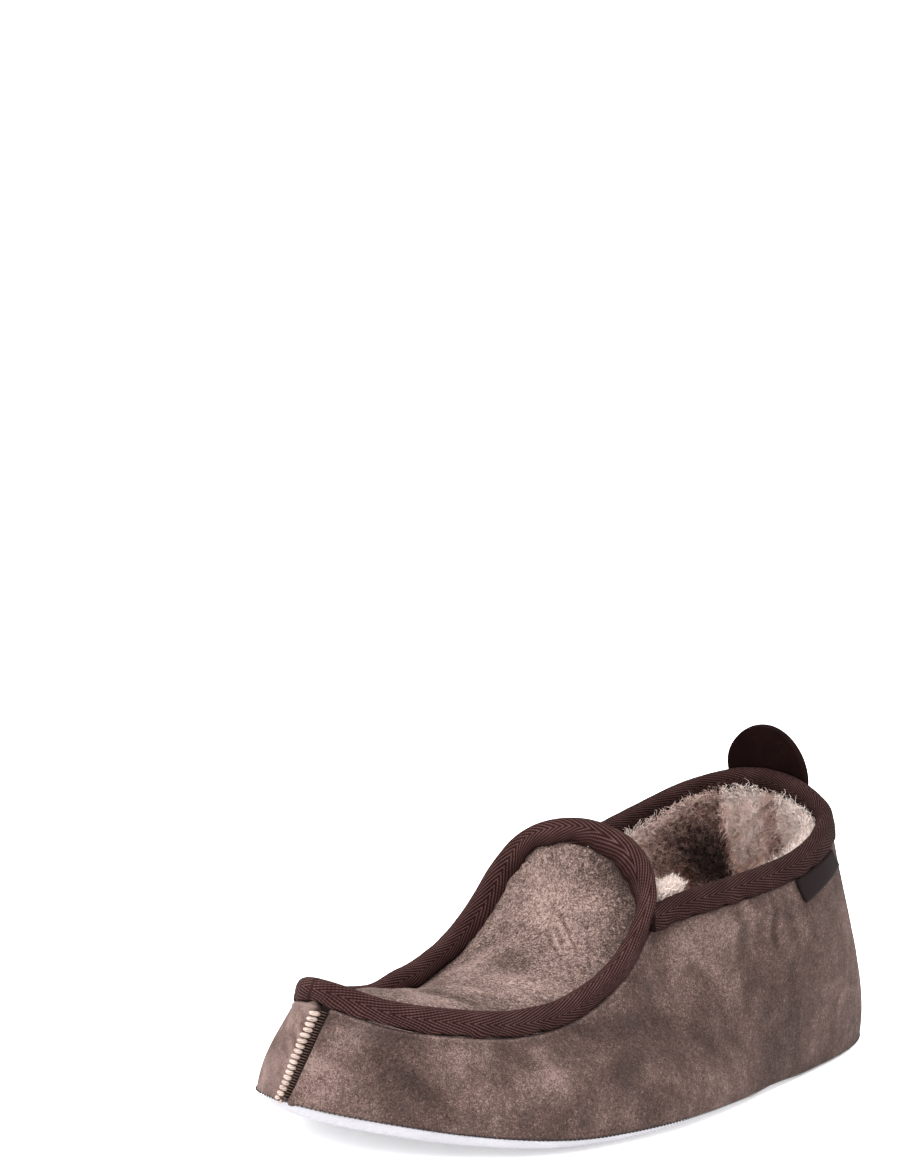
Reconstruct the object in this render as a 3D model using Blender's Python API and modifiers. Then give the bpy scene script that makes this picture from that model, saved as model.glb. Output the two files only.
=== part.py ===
"""Left sheepskin moccasin slipper, standing on its sole.

Metres, +Z up. The toe points to -Y and the outer side of the foot lies at +X. The origin is on the
floor, under the middle of the shoe's length.
"""
import bpy
import bmesh
import numpy as np
from math import pi

# Lengths and widths of the last, measured over the shoe's outside.
SHOE_LENGTH = 0.280
BALL_WIDTH = 0.1188
HEEL_WIDTH = 0.089
APRON_WIDTH = 0.0715
COLLAR_WIDTH = 0.0805

# Heights above the floor: the tapes' ridges, and the sole's lift at the toe and at the waist.
TOE_HEIGHT = 0.0540
VAMP_HEIGHT = 0.0428
INSTEP_HEIGHT = 0.0920
HEEL_HEIGHT = 0.1018
JOIN_HEIGHT = 0.0697
TOE_SPRING = 0.0104
ARCH_RISE = 0.0012

# How far from the toe the ridges of the tapes begin and end, in plan.
APRON_START = 0.0110
APRON_END = 0.1385
COLLAR_END = 0.2385

# Skins, soles and tapes.
UPPER_WALL = 0.0030
APRON_WALL = 0.0030
SOLE_EDGE = 0.0054
SOLE_THICKNESS = 0.0050
SOLE_ROUND = 0.0115
SOLE_TUCK = 0.0022
INSOLE_THICKNESS = 0.0090
INSOLE_ROUND = 0.0030
APRON_TAPE_HEIGHT = 0.0074
APRON_TAPE_WIDTH = 0.0062
LOBE_TAPE_WIDTH = 0.0052
COLLAR_TAPE_HEIGHT = 0.0084
COLLAR_TAPE_WIDTH = 0.0068
TAPE_WALL = 0.0008
TOE_SEAM_WIDTH = 0.0056
TOE_SEAM_DEPTH = 0.0011
TOE_SEAM_SLANT = 0.0040
TAB_WIDTH = 0.0352
TAB_RISE = 0.0160
TAB_WALL = 0.0024
LABEL_LENGTH = 0.0300
LABEL_DROP = 0.0105
LABEL_SLANT = 0.0040
LABEL_WALL = 0.0010
GAP = 0.0003
JOIN_CLEARANCE = 0.0012
INSOLE_CLEARANCE = 0.0010


class Table:
    """Rows under named columns. The first column is the place, and a smooth curve joins the rows."""

    def __init__(self, names, *rows):
        self.names = names.split()
        self.rows = np.array(rows, float)

    def __call__(self, name, at):
        return self.mix(at, **{name: 1})

    def mix(self, at, **sizes):
        """Sum of the named columns, each times its size."""
        total = sum(self.rows[:, self.names.index(name)] * size for name, size in sizes.items())
        return smooth(self.rows[:, 0], total, at)


def smooth(places, values, at):
    """Cubic curve through the points that doesn't swing past them."""
    at = np.clip(np.asarray(at, float), places[0], places[-1])
    step = np.diff(places)
    slope = np.diff(values) / step
    tangent = np.zeros(len(values))
    near, far = slope[:-1], slope[1:]
    same = near * far > 0
    w1 = 2 * step[1:] + step[:-1]
    w2 = step[1:] + 2 * step[:-1]
    tangent[1:-1][same] = ((w1 + w2)[same]) / (w1[same] / near[same] + w2[same] / far[same])
    tangent[0] = slope[0]
    tangent[-1] = slope[-1]
    k = np.clip(np.searchsorted(places, at, side="right") - 1, 0, len(step) - 1)
    h = step[k]
    t = (at - places[k]) / h
    return (values[k] * (1 + 2 * t) * (1 - t) ** 2 + tangent[k] * h * t * (1 - t) ** 2
            + values[k + 1] * t * t * (3 - 2 * t) + tangent[k + 1] * h * t * t * (t - 1))


# Place: share of the shoe's length. drift: the centre line's shift to the outer side, of the ball width.
CENTRE = Table("along drift",
               (0.00, -0.091), (0.10, -0.042), (0.25, 0.000), (0.45, -0.018), (0.57, 0.025),
               (0.70, 0.065), (0.87, 0.047), (1.00, 0.008))

# Place: turn round the outline, 0 at the toe and 1 at the heel. Reach of the upper's lower edge from
# the shoe's axis, to the outer and the inner side, as shares of the ball width and of the heel width.
OUTLINE = Table("turn outer_ball outer_heel inner_ball inner_heel",
                (0.00, -0.091, 0.000, 0.091, 0.000), (0.10, 0.098, 0.000, 0.260, 0.000),
                (0.20, 0.282, 0.000, 0.366, 0.000), (0.32, 0.466, 0.000, 0.444, 0.000),
                (0.44, 0.528, 0.000, 0.468, 0.000), (0.52, 0.420, 0.110, 0.340, 0.120),
                (0.62, 0.170, 0.384, 0.140, 0.310), (0.75, 0.000, 0.535, 0.000, 0.455),
                (0.88, 0.000, 0.393, 0.000, 0.376), (0.95, 0.000, 0.270, 0.000, 0.262),
                (1.00, 0.000, 0.015, 0.000, -0.015))

# Place: share of the shoe's length. spring and arch: lift of the sole's underside, as shares of the toe
# spring and the arch rise. edge: height of the sole's side, of the sole edge.
SOLE = Table("along spring arch edge",
             (0.00, 1.00, 0.00, 1.00), (0.055, 0.70, 0.00, 1.02), (0.12, 0.37, 0.00, 1.00),
             (0.207, 0.10, 0.00, 0.95), (0.27, 0.00, 0.00, 0.90), (0.40, 0.00, 0.00, 0.76),
             (0.50, 0.00, 0.00, 0.56), (0.56, 0.00, 0.00, 0.44), (0.63, 0.00, 1.00, 0.33),
             (0.71, 0.00, 0.00, 0.28),
             (1.00, 0.00, 0.00, 0.26))

# Place: share of the way along the apron's centre line, from the toe over the instep. forward: share of
# its reach in plan. toe and lobe: rise above the vamp, of the toe's and of the instep's rise.
APRON_LINE = Table("way forward toe lobe",
                   (0.000, 0.000, 1.00, 0.000), (0.077, 0.083, 0.56, 0.000), (0.197, 0.223, 0.27, 0.000),
                   (0.347, 0.402, 0.02, 0.000), (0.432, 0.503, 0.00, 0.000), (0.592, 0.689, 0.00, 0.090),
                   (0.670, 0.775, 0.00, 0.189), (0.751, 0.852, 0.00, 0.336), (0.830, 0.914, 0.00, 0.525),
                   (0.906, 0.961, 0.00, 0.727), (0.967, 0.991, 0.00, 0.900), (1.000, 1.000, 0.00, 1.000))

# Place: turn round the apron, 0 at the toe and 1 at the lobe's top. half: half-width of the ridge, of
# the apron's. lean: degrees that the tape leans out from the skin's face. thick: 0 where the tape holds
# two skins, 1 on the free lobe. crown: rise of the skin between the tapes, of the apron's width.
# upright: how far the upper meets the tape from straight below.
APRON = Table("turn half lean thick crown upright",
              (0.00, 0.000, 10, 0.0, 0.00, 0.0), (0.12, 0.315, 10, 0.0, 0.02, 0.0),
              (0.18, 0.520, 9, 0.0, 0.08, 0.0), (0.235, 0.675, 8, 0.0, 0.11, 0.0),
              (0.29, 0.800, 8, 0.0, 0.11, 0.0), (0.35, 0.865, 8, 0.0, 0.10, 0.0),
              (0.45, 0.905, 10, 0.0, 0.09, 0.0), (0.55, 0.965, 14, 0.0, 0.08, 0.2),
              (0.65, 1.000, 22, 0.0, 0.07, 0.6), (0.73, 0.985, 34, 0.1, 0.06, 0.9),
              (0.80, 0.890, 66, 0.6, 0.05, 1.0), (0.88, 0.630, 98, 1.0, 0.03, 1.0),
              (1.00, 0.000, 112, 1.0, 0.00, 1.0))
APRON_JOIN = 0.763

# Place: share of the turn from the apron's side to the heel's back. half: half-width of the ridge, of
# the collar's. rise: share of the climb to the heel. lean: degrees that the tape leans inwards.
COLLAR = Table("turn half rise lean",
               (0.00, 0.840, 0.000, 4), (0.125, 0.925, 0.112, 4), (0.25, 0.980, 0.227, 5),
               (0.40, 1.000, 0.365, 6), (0.50, 0.980, 0.461, 7), (0.625, 0.905, 0.590, 9),
               (0.75, 0.765, 0.735, 12), (0.875, 0.470, 0.895, 14), (0.94, 0.245, 0.970, 15),
               (1.00, 0.000, 1.000, 16))

# Place: share of the shoe's length. flare: degrees that the wall leans out where it leaves the sole.
# belly and shoulder: how far the wall keeps its lower and its upper direction, as shares of its height.
# tuck: degrees that the wall turns in under the apron's tape.
WALL = Table("along flare belly shoulder tuck",
             (0.00, -14, 0.25, 0.25, 12), (0.06, 0, 0.40, 0.30, 34), (0.15, 6, 0.50, 0.36, 52),
             (0.30, 8, 0.50, 0.40, 56), (0.42, 12, 0.45, 0.35, 44), (0.52, 12, 0.38, 0.30, 24),
             (0.65, 11, 0.34, 0.30, 8), (0.80, 10, 0.30, 0.30, 0), (0.92, 9, 0.25, 0.30, 0),
             (1.00, 8, 0.20, 0.25, 0))


def stack(x, y, z):
    return np.stack(np.broadcast_arrays(np.asarray(x, float), y, z), axis=-1)


def unit(v):
    return v / np.linalg.norm(v, axis=-1, keepdims=True)


def turned(share):
    """Turn, from 0 to 1, of a point at this share of a round-ended length."""
    return np.arccos(1 - 2 * np.clip(share, 0, 1)) / pi


def sole_lift(along):
    """Height of the outsole's underside above the floor."""
    return SOLE.mix(along, spring=TOE_SPRING, arch=ARCH_RISE)


def lower_edge(turn, side):
    """The upper's lower edge. side is 1 on the outer side and -1 on the inner one."""
    along = (1 - np.cos(pi * turn)) / 2
    if side > 0:
        x = OUTLINE.mix(turn, outer_ball=BALL_WIDTH, outer_heel=HEEL_WIDTH)
    else:
        x = -OUTLINE.mix(turn, inner_ball=BALL_WIDTH, inner_heel=HEEL_WIDTH)
    return stack(x, (along - 0.5) * SHOE_LENGTH, sole_lift(along) + SOLE_EDGE * SOLE("edge", along))


def apron_ridge(turn, side):
    """Ridge of the tape round the apron."""
    way = (1 - np.cos(pi * turn)) / 2
    reach = APRON_START + (APRON_END - APRON_START) * APRON_LINE("forward", way)
    z = VAMP_HEIGHT + APRON_LINE.mix(way, toe=TOE_HEIGHT - VAMP_HEIGHT, lobe=INSTEP_HEIGHT - VAMP_HEIGHT)
    x = BALL_WIDTH * CENTRE("drift", reach / SHOE_LENGTH) + side * APRON_WIDTH / 2 * APRON("half", turn)
    return stack(x, reach - SHOE_LENGTH / 2, z)


def apron_face(turn):
    """Outward direction of the apron's skin, square to its centre line."""
    step = 0.004
    low, high = np.clip(turn - step, 0.01, 0.98), np.clip(turn + step, 0.02, 0.99)
    way = apron_ridge(high, 0) - apron_ridge(low, 0)
    return unit(stack(0 * way[..., 0], -way[..., 2], way[..., 1]))


def apron_frame(turn, side):
    """Ridge point of the apron's tape, the direction of its ridge and the one across it."""
    step = 0.003
    ahead = apron_ridge(np.minimum(turn + step, 1), side)
    behind = apron_ridge(np.maximum(turn - step, 0), side)
    tangent = ahead - behind
    tangent[..., 1:] = np.where((turn[..., None] < step) | (turn[..., None] > 1 - step), 0, tangent[..., 1:])
    face = apron_face(turn)
    out = unit(np.cross(unit(tangent), face)) * side
    lean = np.radians(APRON("lean", turn))[..., None]
    return (apron_ridge(turn, side), np.cos(lean) * face + np.sin(lean) * out,
            np.cos(lean) * out - np.sin(lean) * face)


def apron_tape_width(turn):
    return APRON_TAPE_WIDTH + (LOBE_TAPE_WIDTH - APRON_TAPE_WIDTH) * APRON("thick", turn)


def upper_edge(turn, side):
    """Top edge of the upper's outer face, under the apron's tape."""
    ridge, rise, across = apron_frame(turn, side)
    out = apron_tape_width(turn)[:, None] / 2 - GAP
    return ridge - (APRON_TAPE_HEIGHT + 2 * GAP) * rise + out * across


def apron_edge(turn, side):
    """Edge of the apron's skin, at half its thickness: beside the upper's edge, and alone on the lobe."""
    ridge, rise, across = apron_frame(turn, side)
    alone = APRON("thick", turn)[:, None]
    out = (apron_tape_width(turn)[:, None] / 2 - UPPER_WALL - 3 * GAP) * (1 - alone)
    slant = np.abs(np.cos(np.radians(APRON("lean", turn))))[:, None]
    return ridge - (APRON_TAPE_HEIGHT + 2 * GAP + APRON_WALL / 2 * slant) * rise + out * across


def collar_ridge(turn, side):
    """Ridge of the tape round the collar."""
    start = apron_ridge(np.array(APRON_JOIN), side)[1] + SHOE_LENGTH / 2
    reach = start + (COLLAR_END - start) * np.sin(pi * turn / 2)
    x = BALL_WIDTH * CENTRE("drift", reach / SHOE_LENGTH) + side * COLLAR_WIDTH / 2 * COLLAR("half", turn)
    z = JOIN_HEIGHT + (HEEL_HEIGHT - JOIN_HEIGHT) * COLLAR("rise", turn)
    return stack(x, reach - SHOE_LENGTH / 2, z)


def collar_frame(turn, side):
    """Ridge point of the collar's tape, the direction of its ridge and the one across it."""
    step = 0.004
    tangent = collar_ridge(np.minimum(turn + step, 1), side) - collar_ridge(np.maximum(turn - step, 0), side)
    tangent[..., 1:] = np.where(turn[..., None] > 1 - step, 0, tangent[..., 1:])
    out = unit(np.cross(unit(tangent), [0, 0, 1])) * side
    lean = np.radians(COLLAR("lean", turn))[..., None]
    rise = unit(np.cos(lean) * np.array([0, 0, 1]) - np.sin(lean) * out)
    return collar_ridge(turn, side), rise, unit(np.cross(unit(tangent), rise)) * side


def plan_normal(turn, side):
    """Level direction out of the upper's lower edge."""
    step = 0.01
    way = lower_edge(np.minimum(turn + step, 1), side) - lower_edge(np.maximum(turn - step, 0), side)
    way[..., 1:] = np.where((turn[..., None] < step) | (turn[..., None] > 1 - step), 0, way[..., 1:])
    return unit(stack(way[..., 1], -way[..., 0], 0)) * side


APRON_COLUMNS = 16
LAST_APRON_COLUMN = 0.712
COLLAR_COLUMNS = 16


def share_of_wall(ridge):
    """Share of the way from the toe to the heel of a point on the tapes' ridges."""
    return (ridge[:, 1] + SHOE_LENGTH / 2 - APRON_START) / (COLLAR_END - APRON_START)


def apron_columns(turn, side):
    """Top points of the upper's columns under the apron's tape, their last directions and lower turns."""
    ridge, rise, across = apron_frame(turn, side)
    share = share_of_wall(ridge)
    tuck = np.radians(WALL("tuck", share))[:, None]
    upright = APRON("upright", turn)[:, None]
    end = unit((np.cos(tuck) * rise - np.sin(tuck) * across) * (1 - upright) + [0, 0, 1] * upright)
    return upper_edge(turn, side), end, turned(share)


def collar_columns(turn, side):
    """The same under the collar's tape."""
    ridge, rise, across = collar_frame(turn, side)
    top = ridge - (COLLAR_TAPE_HEIGHT + GAP) * rise + (COLLAR_TAPE_WIDTH / 2 - TAPE_WALL) * across
    return top, rise, turned(share_of_wall(ridge))


def at_length(points, lengths):
    """Points at these distances along a line of points."""
    steps = np.r_[0, np.cumsum(np.linalg.norm(np.diff(points, axis=0), axis=1))]
    return np.stack([np.interp(lengths, steps, points[:, k]) for k in range(3)], axis=-1)


def wall_columns(side):
    """All the upper's columns on one side, from the toe to the heel."""
    front = apron_columns(np.linspace(0, LAST_APRON_COLUMN, APRON_COLUMNS + 1), side)
    back = collar_columns(np.linspace(0, 1, COLLAR_COLUMNS + 1)[1:], side)
    return [np.concatenate(pair) for pair in zip(front, back)]


def wall_point(top, end, turn, side, up):
    """Point of the upper's outer face, at a share of the way up its wall."""
    bottom = lower_edge(turn, side)
    along = (1 - np.cos(pi * turn)) / 2
    tall = np.linalg.norm(top - bottom, axis=-1, keepdims=True)
    flare = np.radians(WALL("flare", along))[..., None]
    start = np.sin(flare) * plan_normal(turn, side) + np.cos(flare) * np.array([0, 0, 1])
    second = bottom + WALL("belly", along)[..., None] * tall * start
    third = top - WALL("shoulder", along)[..., None] * tall * end
    return ((1 - up) ** 3 * bottom + 3 * (1 - up) ** 2 * up * second
            + 3 * (1 - up) * up ** 2 * third + up ** 3 * top)


def material(name, colour, roughness):
    new = bpy.data.materials.new(name)
    new.use_nodes = True
    shader = new.node_tree.nodes["Principled BSDF"]
    shader.inputs["Base Color"].default_value = (*colour, 1)
    shader.inputs["Roughness"].default_value = roughness
    shader.inputs["Metallic"].default_value = 0
    return new


def make_object(name, mesh_builder, finish):
    """Object with the mesh that the builder closes, in the part's collection, shaded smooth."""
    bm = bmesh.new()
    mesh_builder(bm)
    bmesh.ops.recalc_face_normals(bm, faces=bm.faces)
    mesh = bpy.data.meshes.new(name)
    bm.to_mesh(mesh)
    bm.free()
    mesh.materials.append(finish)
    mesh.shade_smooth()
    new = bpy.data.objects.new(name, mesh)
    part.objects.link(new)
    return new


def add_rings(bm, rings, around=True):
    """Quads between neighbouring rings of points. Returns the rings' vertices."""
    verts = [[bm.verts.new(point) for point in ring] for ring in rings]
    for low, high in zip(verts, verts[1:]):
        count = len(low)
        for i in range(count if around else count - 1):
            j = (i + 1) % count
            bm.faces.new((low[i], low[j], high[j], high[i]))
    return verts


def add_sheet(bm, rows, first, last):
    """Open sheet of rows that ends in a point at each end."""
    verts = add_rings(bm, rows, around=False)
    for tip, row in ((first, verts[0]), (last, verts[-1])):
        pole = bm.verts.new(tip)
        for a, b in zip(row, row[1:]):
            bm.faces.new((pole, a, b))


def close_ring(bm, ring):
    """Fill a ring that runs from the toe down the outer side and back up the inner side."""
    half = len(ring) // 2
    bm.faces.new((ring[0], ring[1], ring[-1]))
    for i in range(1, half - 1):
        bm.faces.new((ring[i], ring[i + 1], ring[-i - 1], ring[-i]))
    bm.faces.new((ring[half - 1], ring[half], ring[half + 1]))


def solidify(piece, thickness, offset):
    wall = piece.modifiers.new("wall", "SOLIDIFY")
    wall.thickness = thickness
    wall.offset = offset
    wall.use_even_offset = True
    return wall


OUTLINE_STEPS = 30


def outline_ring(inset, height):
    """Closed ring inside the upper's lower edge. inset and height take the share along and give metres."""
    turns = np.linspace(0, 1, OUTLINE_STEPS + 1)
    points = []
    for side, order in ((1, turns[:-1]), (-1, turns[:0:-1])):
        along = (1 - np.cos(pi * order)) / 2
        ring = lower_edge(order, side) - inset(along)[:, None] * plan_normal(order, side)
        ring[:, 2] = height(ring[:, 1] / SHOE_LENGTH + 0.5)
        points.append(ring)
    return np.vstack(points)


def tucked(along):
    """How far the sole's side is set in under the upper."""
    return SOLE_TUCK * smooth(np.array([0.0, 0.2, 0.35, 0.5, 1.0]), np.array([0.8, 0.1, 0.1, 1.0, 1.0]), along)


def seat(along):
    """Height of the sole's rim, on which the upper stands."""
    return sole_lift(along) + SOLE_EDGE * SOLE("edge", along) - GAP


def bed(along):
    """Height of the sole's upper face inside the upper."""
    return np.maximum(seat(along), sole_lift(along) + SOLE_THICKNESS)


# The sole's rounded side, from its rim to the floor: shares of the rounding and of the rim's height.
SOLE_SIDE = ((0.0, 1.0), (0.10, 0.60), (0.32, 0.30), (0.62, 0.09), (1.0, 0.0))


def build_outsole(bm):
    inner = UPPER_WALL + GAP
    rings = [
        outline_ring(lambda a: inner + SOLE_THICKNESS + 0 * a, bed),
        outline_ring(lambda a: inner + SOLE_THICKNESS / 2 + 0 * a, lambda a: (bed(a) + seat(a)) / 2),
        outline_ring(lambda a: inner + 0 * a, seat),
    ]
    for out, up in SOLE_SIDE:
        rings.append(outline_ring(lambda a: tucked(a) + out * SOLE_ROUND,
                                  lambda a: sole_lift(a) + up * (seat(a) - sole_lift(a))))
    verts = add_rings(bm, rings)
    close_ring(bm, verts[0])
    close_ring(bm, verts[-1])


TOE_SEAM_TURN = 0.08


def wall_ring(inset, height):
    """Closed ring inside the upper's wall, at the heights that a function of the share along gives."""
    points = []
    for side, keep in ((1, slice(0, -1)), (-1, slice(None, 0, -1))):
        top, end, turn = wall_columns(side)
        levels = np.array([wall_point(top, end, turn, side, up) for up in np.linspace(0, 0.8, 33)])
        z = height((1 - np.cos(pi * turn)) / 2)
        ring = np.array([[np.interp(level, column[:, 2], column[:, k]) for k in range(3)]
                         for level, column in zip(z, levels.swapaxes(0, 1))])
        deep = inset + np.where(turn < TOE_SEAM_TURN, TOE_SEAM_DEPTH, 0)[:, None]
        points.append((ring - deep * plan_normal(turn, side))[keep])
    return np.vstack(points)


def build_insole(bm):
    """Bed of the foot, that fits the upper's wall all round."""
    base = lambda a: bed(a) + GAP
    edge = UPPER_WALL + INSOLE_CLEARANCE
    rings = [
        wall_ring(edge + INSOLE_ROUND + SOLE_THICKNESS, base),
        wall_ring(edge, lambda a: base(a) + INSOLE_ROUND),
        wall_ring(edge, lambda a: base(a) + INSOLE_THICKNESS - INSOLE_ROUND),
        wall_ring(edge + INSOLE_ROUND, lambda a: base(a) + INSOLE_THICKNESS),
    ]
    verts = add_rings(bm, rings)
    close_ring(bm, verts[0])
    close_ring(bm, verts[-1])


WALL_ROWS = (0.0, 0.07, 0.17, 0.29, 0.42, 0.55, 0.68, 0.80, 0.91, 1.0)


def toe_seam(up):
    """Three points across the open seam at the toe, at a share of the way up the wall."""
    turns = np.linspace(0, 0.14, 15)
    outer = wall_point(*apron_columns(turns, 1), 1, up)
    inner = wall_point(*apron_columns(turns, -1), -1, up)
    line = np.vstack([inner[:0:-1], outer])
    steps = np.r_[0, np.cumsum(np.linalg.norm(np.diff(line, axis=0), axis=1))]
    places = steps[len(turns) - 1] + TOE_SEAM_SLANT * up + np.array([-0.5, 0, 0.5]) * TOE_SEAM_WIDTH
    points = at_length(line, places)
    points[1, 1] += TOE_SEAM_DEPTH
    return points


def upper_rows():
    """Rings of the upper's outer face, from its lower edge up. The toe's seam replaces two columns."""
    columns = {side: wall_columns(side) for side in (1, -1)}
    rows = []
    for up in WALL_ROWS:
        outer = wall_point(*columns[1], 1, up)
        inner = wall_point(*columns[-1], -1, up)
        seam = toe_seam(up)
        rows.append(np.vstack([seam[1:], outer[2:-1], inner[:0:-1], seam[:1]]))
    return rows


def build_upper(bm):
    add_rings(bm, upper_rows())


APRON_ROWS = 24
APRON_SHARES = (0.0, 0.22, 0.48, 0.74)
APRON_FIRST_TURN = 0.085
APRON_LAST_TURN = 0.93
APRON_HIDDEN = 0.0031


def build_apron(bm):
    """Skin in rows from the toe over the instep: level under its tape, domed between the tape's sides."""
    turns = np.linspace(APRON_FIRST_TURN, APRON_LAST_TURN, APRON_ROWS + 1)
    face = apron_face(turns)
    crown = APRON_WIDTH * APRON("crown", turns)
    edges = {side: apron_edge(turns, side) for side in (1, -1)}
    middle = (edges[1] + edges[-1]) / 2
    rows = []
    for i in range(APRON_ROWS + 1):
        halves = {}
        for side, edge in edges.items():
            bare = middle[i] + (edge[i] - middle[i]) * (1 - APRON_HIDDEN / np.linalg.norm(edge[i] - middle[i]))
            domed = [bare + (middle[i] - bare) * share + face[i] * crown[i] * (1 - (1 - share) ** 2)
                     for share in APRON_SHARES]
            halves[side] = [edge[i], *domed]
        rows.append([*halves[-1], middle[i] + face[i] * crown[i], *halves[1][::-1]])
    add_rings(bm, rows, around=False)


# Half of the tape's section, from the foot of its side to its ridge: shares of its width and height.
TAPE_SECTION = ((0.47, -1.0), (0.50, -0.6), (0.46, -0.3), (0.30, -0.07), (0.0, 0.0))


def tape_rings(ridge, rise, across, width, height):
    rings = []
    for point, up, out, wide in zip(ridge, rise, across, width):
        right = [point + out * wide * w + up * height * h for w, h in TAPE_SECTION]
        left = [point - out * wide * w + up * height * h for w, h in TAPE_SECTION[-2::-1]]
        rings.append(right + left)
    return rings


APRON_TAPE_STEPS = 34
COLLAR_TAPE_STEPS = 26
COLLAR_TAPE_START = 0.08


def build_apron_tape(bm):
    turns = np.linspace(0, 1, APRON_TAPE_STEPS + 1)
    rings = []
    for side, order in ((1, turns[:-1]), (-1, turns[:0:-1])):
        ridge, rise, across = apron_frame(order, side)
        rings += tape_rings(ridge, rise, across, apron_tape_width(order), APRON_TAPE_HEIGHT)
    verts = add_rings(bm, rings)
    count = len(verts[0])
    for i in range(count):
        j = (i + 1) % count
        bm.faces.new((verts[-1][i], verts[-1][j], verts[0][j], verts[0][i]))


def cut_to_apron(ring, tangent, side):
    """Slide an end ring's points along the tape until they lie against the apron's tape."""
    join = np.array([APRON_JOIN])
    ridge, _, across = apron_frame(join, side)
    reach = apron_tape_width(join)[0] / 2 + JOIN_CLEARANCE
    return [point - tangent * (((point - ridge[0]) @ across[0] - reach) / (tangent @ across[0])) for point in ring]


def build_collar_tape(bm):
    turns = np.linspace(COLLAR_TAPE_START, 1, COLLAR_TAPE_STEPS + 1)
    rings = []
    for side, order in ((1, turns[:-1]), (-1, turns[::-1])):
        ridge, rise, across = collar_frame(order, side)
        wide = np.full(len(order), COLLAR_TAPE_WIDTH)
        rings += tape_rings(ridge, rise, across, wide, COLLAR_TAPE_HEIGHT)
    for end, side in ((0, 1), (-1, -1)):
        ahead = collar_ridge(np.array(COLLAR_TAPE_START), side) - collar_ridge(np.array(0.0), side)
        rings[end] = cut_to_apron(rings[end], unit(ahead), side)
    verts = add_rings(bm, rings)
    bm.faces.new(verts[0])
    bm.faces.new(verts[-1][::-1])


TAB_ROWS = 12
TAB_SHARES = (-1.0, -0.6, -0.2, 0.2, 0.6, 1.0)
TAB_BEND = 0.050
TAB_STAND = 3


def build_tab(bm):
    """Round tab on the outside of the heel, in a plane that leans with the collar's tape."""
    ridge, rise, across = (v[0] for v in collar_frame(np.array([1.0]), 1))
    radius = TAB_WIDTH / 2
    stand = np.radians(TAB_STAND)
    rise = np.cos(stand) * rise - np.sin(stand) * across
    seat = ridge + across * (COLLAR_TAPE_WIDTH / 2 + 2 * GAP + TAB_WALL / 2)
    centre = seat + rise * (TAB_RISE - radius)
    rows = []
    for turn in np.linspace(0, 1, TAB_ROWS + 1)[1:-1]:
        height = -radius * np.cos(pi * turn)
        half = radius * np.sin(pi * turn)
        rows.append([centre + rise * height + np.array([share * half, 0, 0])
                     - across * (share * half) ** 2 / (2 * TAB_BEND) for share in TAB_SHARES])
    add_sheet(bm, rows, centre - rise * radius, centre + rise * radius)


LABEL_START = 0.38
LABEL_GAP = 0.0002
LABEL_COLUMNS = 5
LABEL_ROWS = 2


def build_label(bm):
    """Folded label that hangs on the outer side from the lower edge of the collar's tape."""
    top, end, turn = collar_columns(np.linspace(LABEL_START, 1, 60), 1)
    levels = [wall_point(top, end, turn, 1, up) for up in np.linspace(1, 0.7, 16)]
    drops = np.linspace(LABEL_GAP, LABEL_GAP + LABEL_DROP, LABEL_ROWS + 1)
    hung = [at_length(np.array(column), drops) for column in zip(*levels)]
    spans = np.linspace(0, LABEL_LENGTH, LABEL_COLUMNS + 1)
    shifts = np.linspace(0, LABEL_SLANT, LABEL_ROWS + 1)
    rows = [at_length(np.array(line), spans + shift) for line, shift in zip(zip(*hung), shifts)]
    out = plan_normal(turn[:1], 1)[0]
    add_rings(bm, [row + out * (GAP + LABEL_WALL / 2) for row in rows], around=False)

for old in list(bpy.data.objects):
    bpy.data.objects.remove(old)
part = bpy.data.collections.new("sheepskin_slipper")
bpy.context.scene.collection.children.link(part)

skin = material("taupe_nubuck", (0.125, 0.085, 0.068), 0.9)
apron_skin = material("taupe_nubuck_apron", (0.150, 0.104, 0.083), 0.9)
tape = material("plum_cotton_tape", (0.035, 0.018, 0.017), 0.85)
sole_hide = material("pale_sole_hide", (0.72, 0.71, 0.74), 0.8)
fleece = material("wool_fleece", (0.36, 0.27, 0.22), 0.95)
tab_suede = material("dark_suede", (0.018, 0.010, 0.008), 0.9)
satin = material("black_satin", (0.012, 0.011, 0.012), 0.5)

outsole = make_object("outsole", build_outsole, sole_hide)
insole = make_object("insole", build_insole, fleece)
upper = make_object("upper", build_upper, skin)
solidify(upper, UPPER_WALL, -1)
apron = make_object("apron", build_apron, apron_skin)
solidify(apron, APRON_WALL, 0)
make_object("apron_binding", build_apron_tape, tape)
make_object("collar_binding", build_collar_tape, tape)
tab = make_object("heel_tab", build_tab, tab_suede)
solidify(tab, TAB_WALL, 0)
label = make_object("side_label", build_label, satin)
solidify(label, LABEL_WALL, 0)
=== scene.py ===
"""Looks of the left sheepskin slipper. Metres, toe at -Y, outer side of the foot at +X, floor at Z 0."""
import bpy
import bmesh
import numpy as np
from math import atan2, cos, hypot, pi, radians, sin
from mathutils import Matrix, Vector
from mathutils.bvhtree import BVHTree
from mathutils.kdtree import KDTree
from mathutils.noise import noise as value_noise


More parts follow.
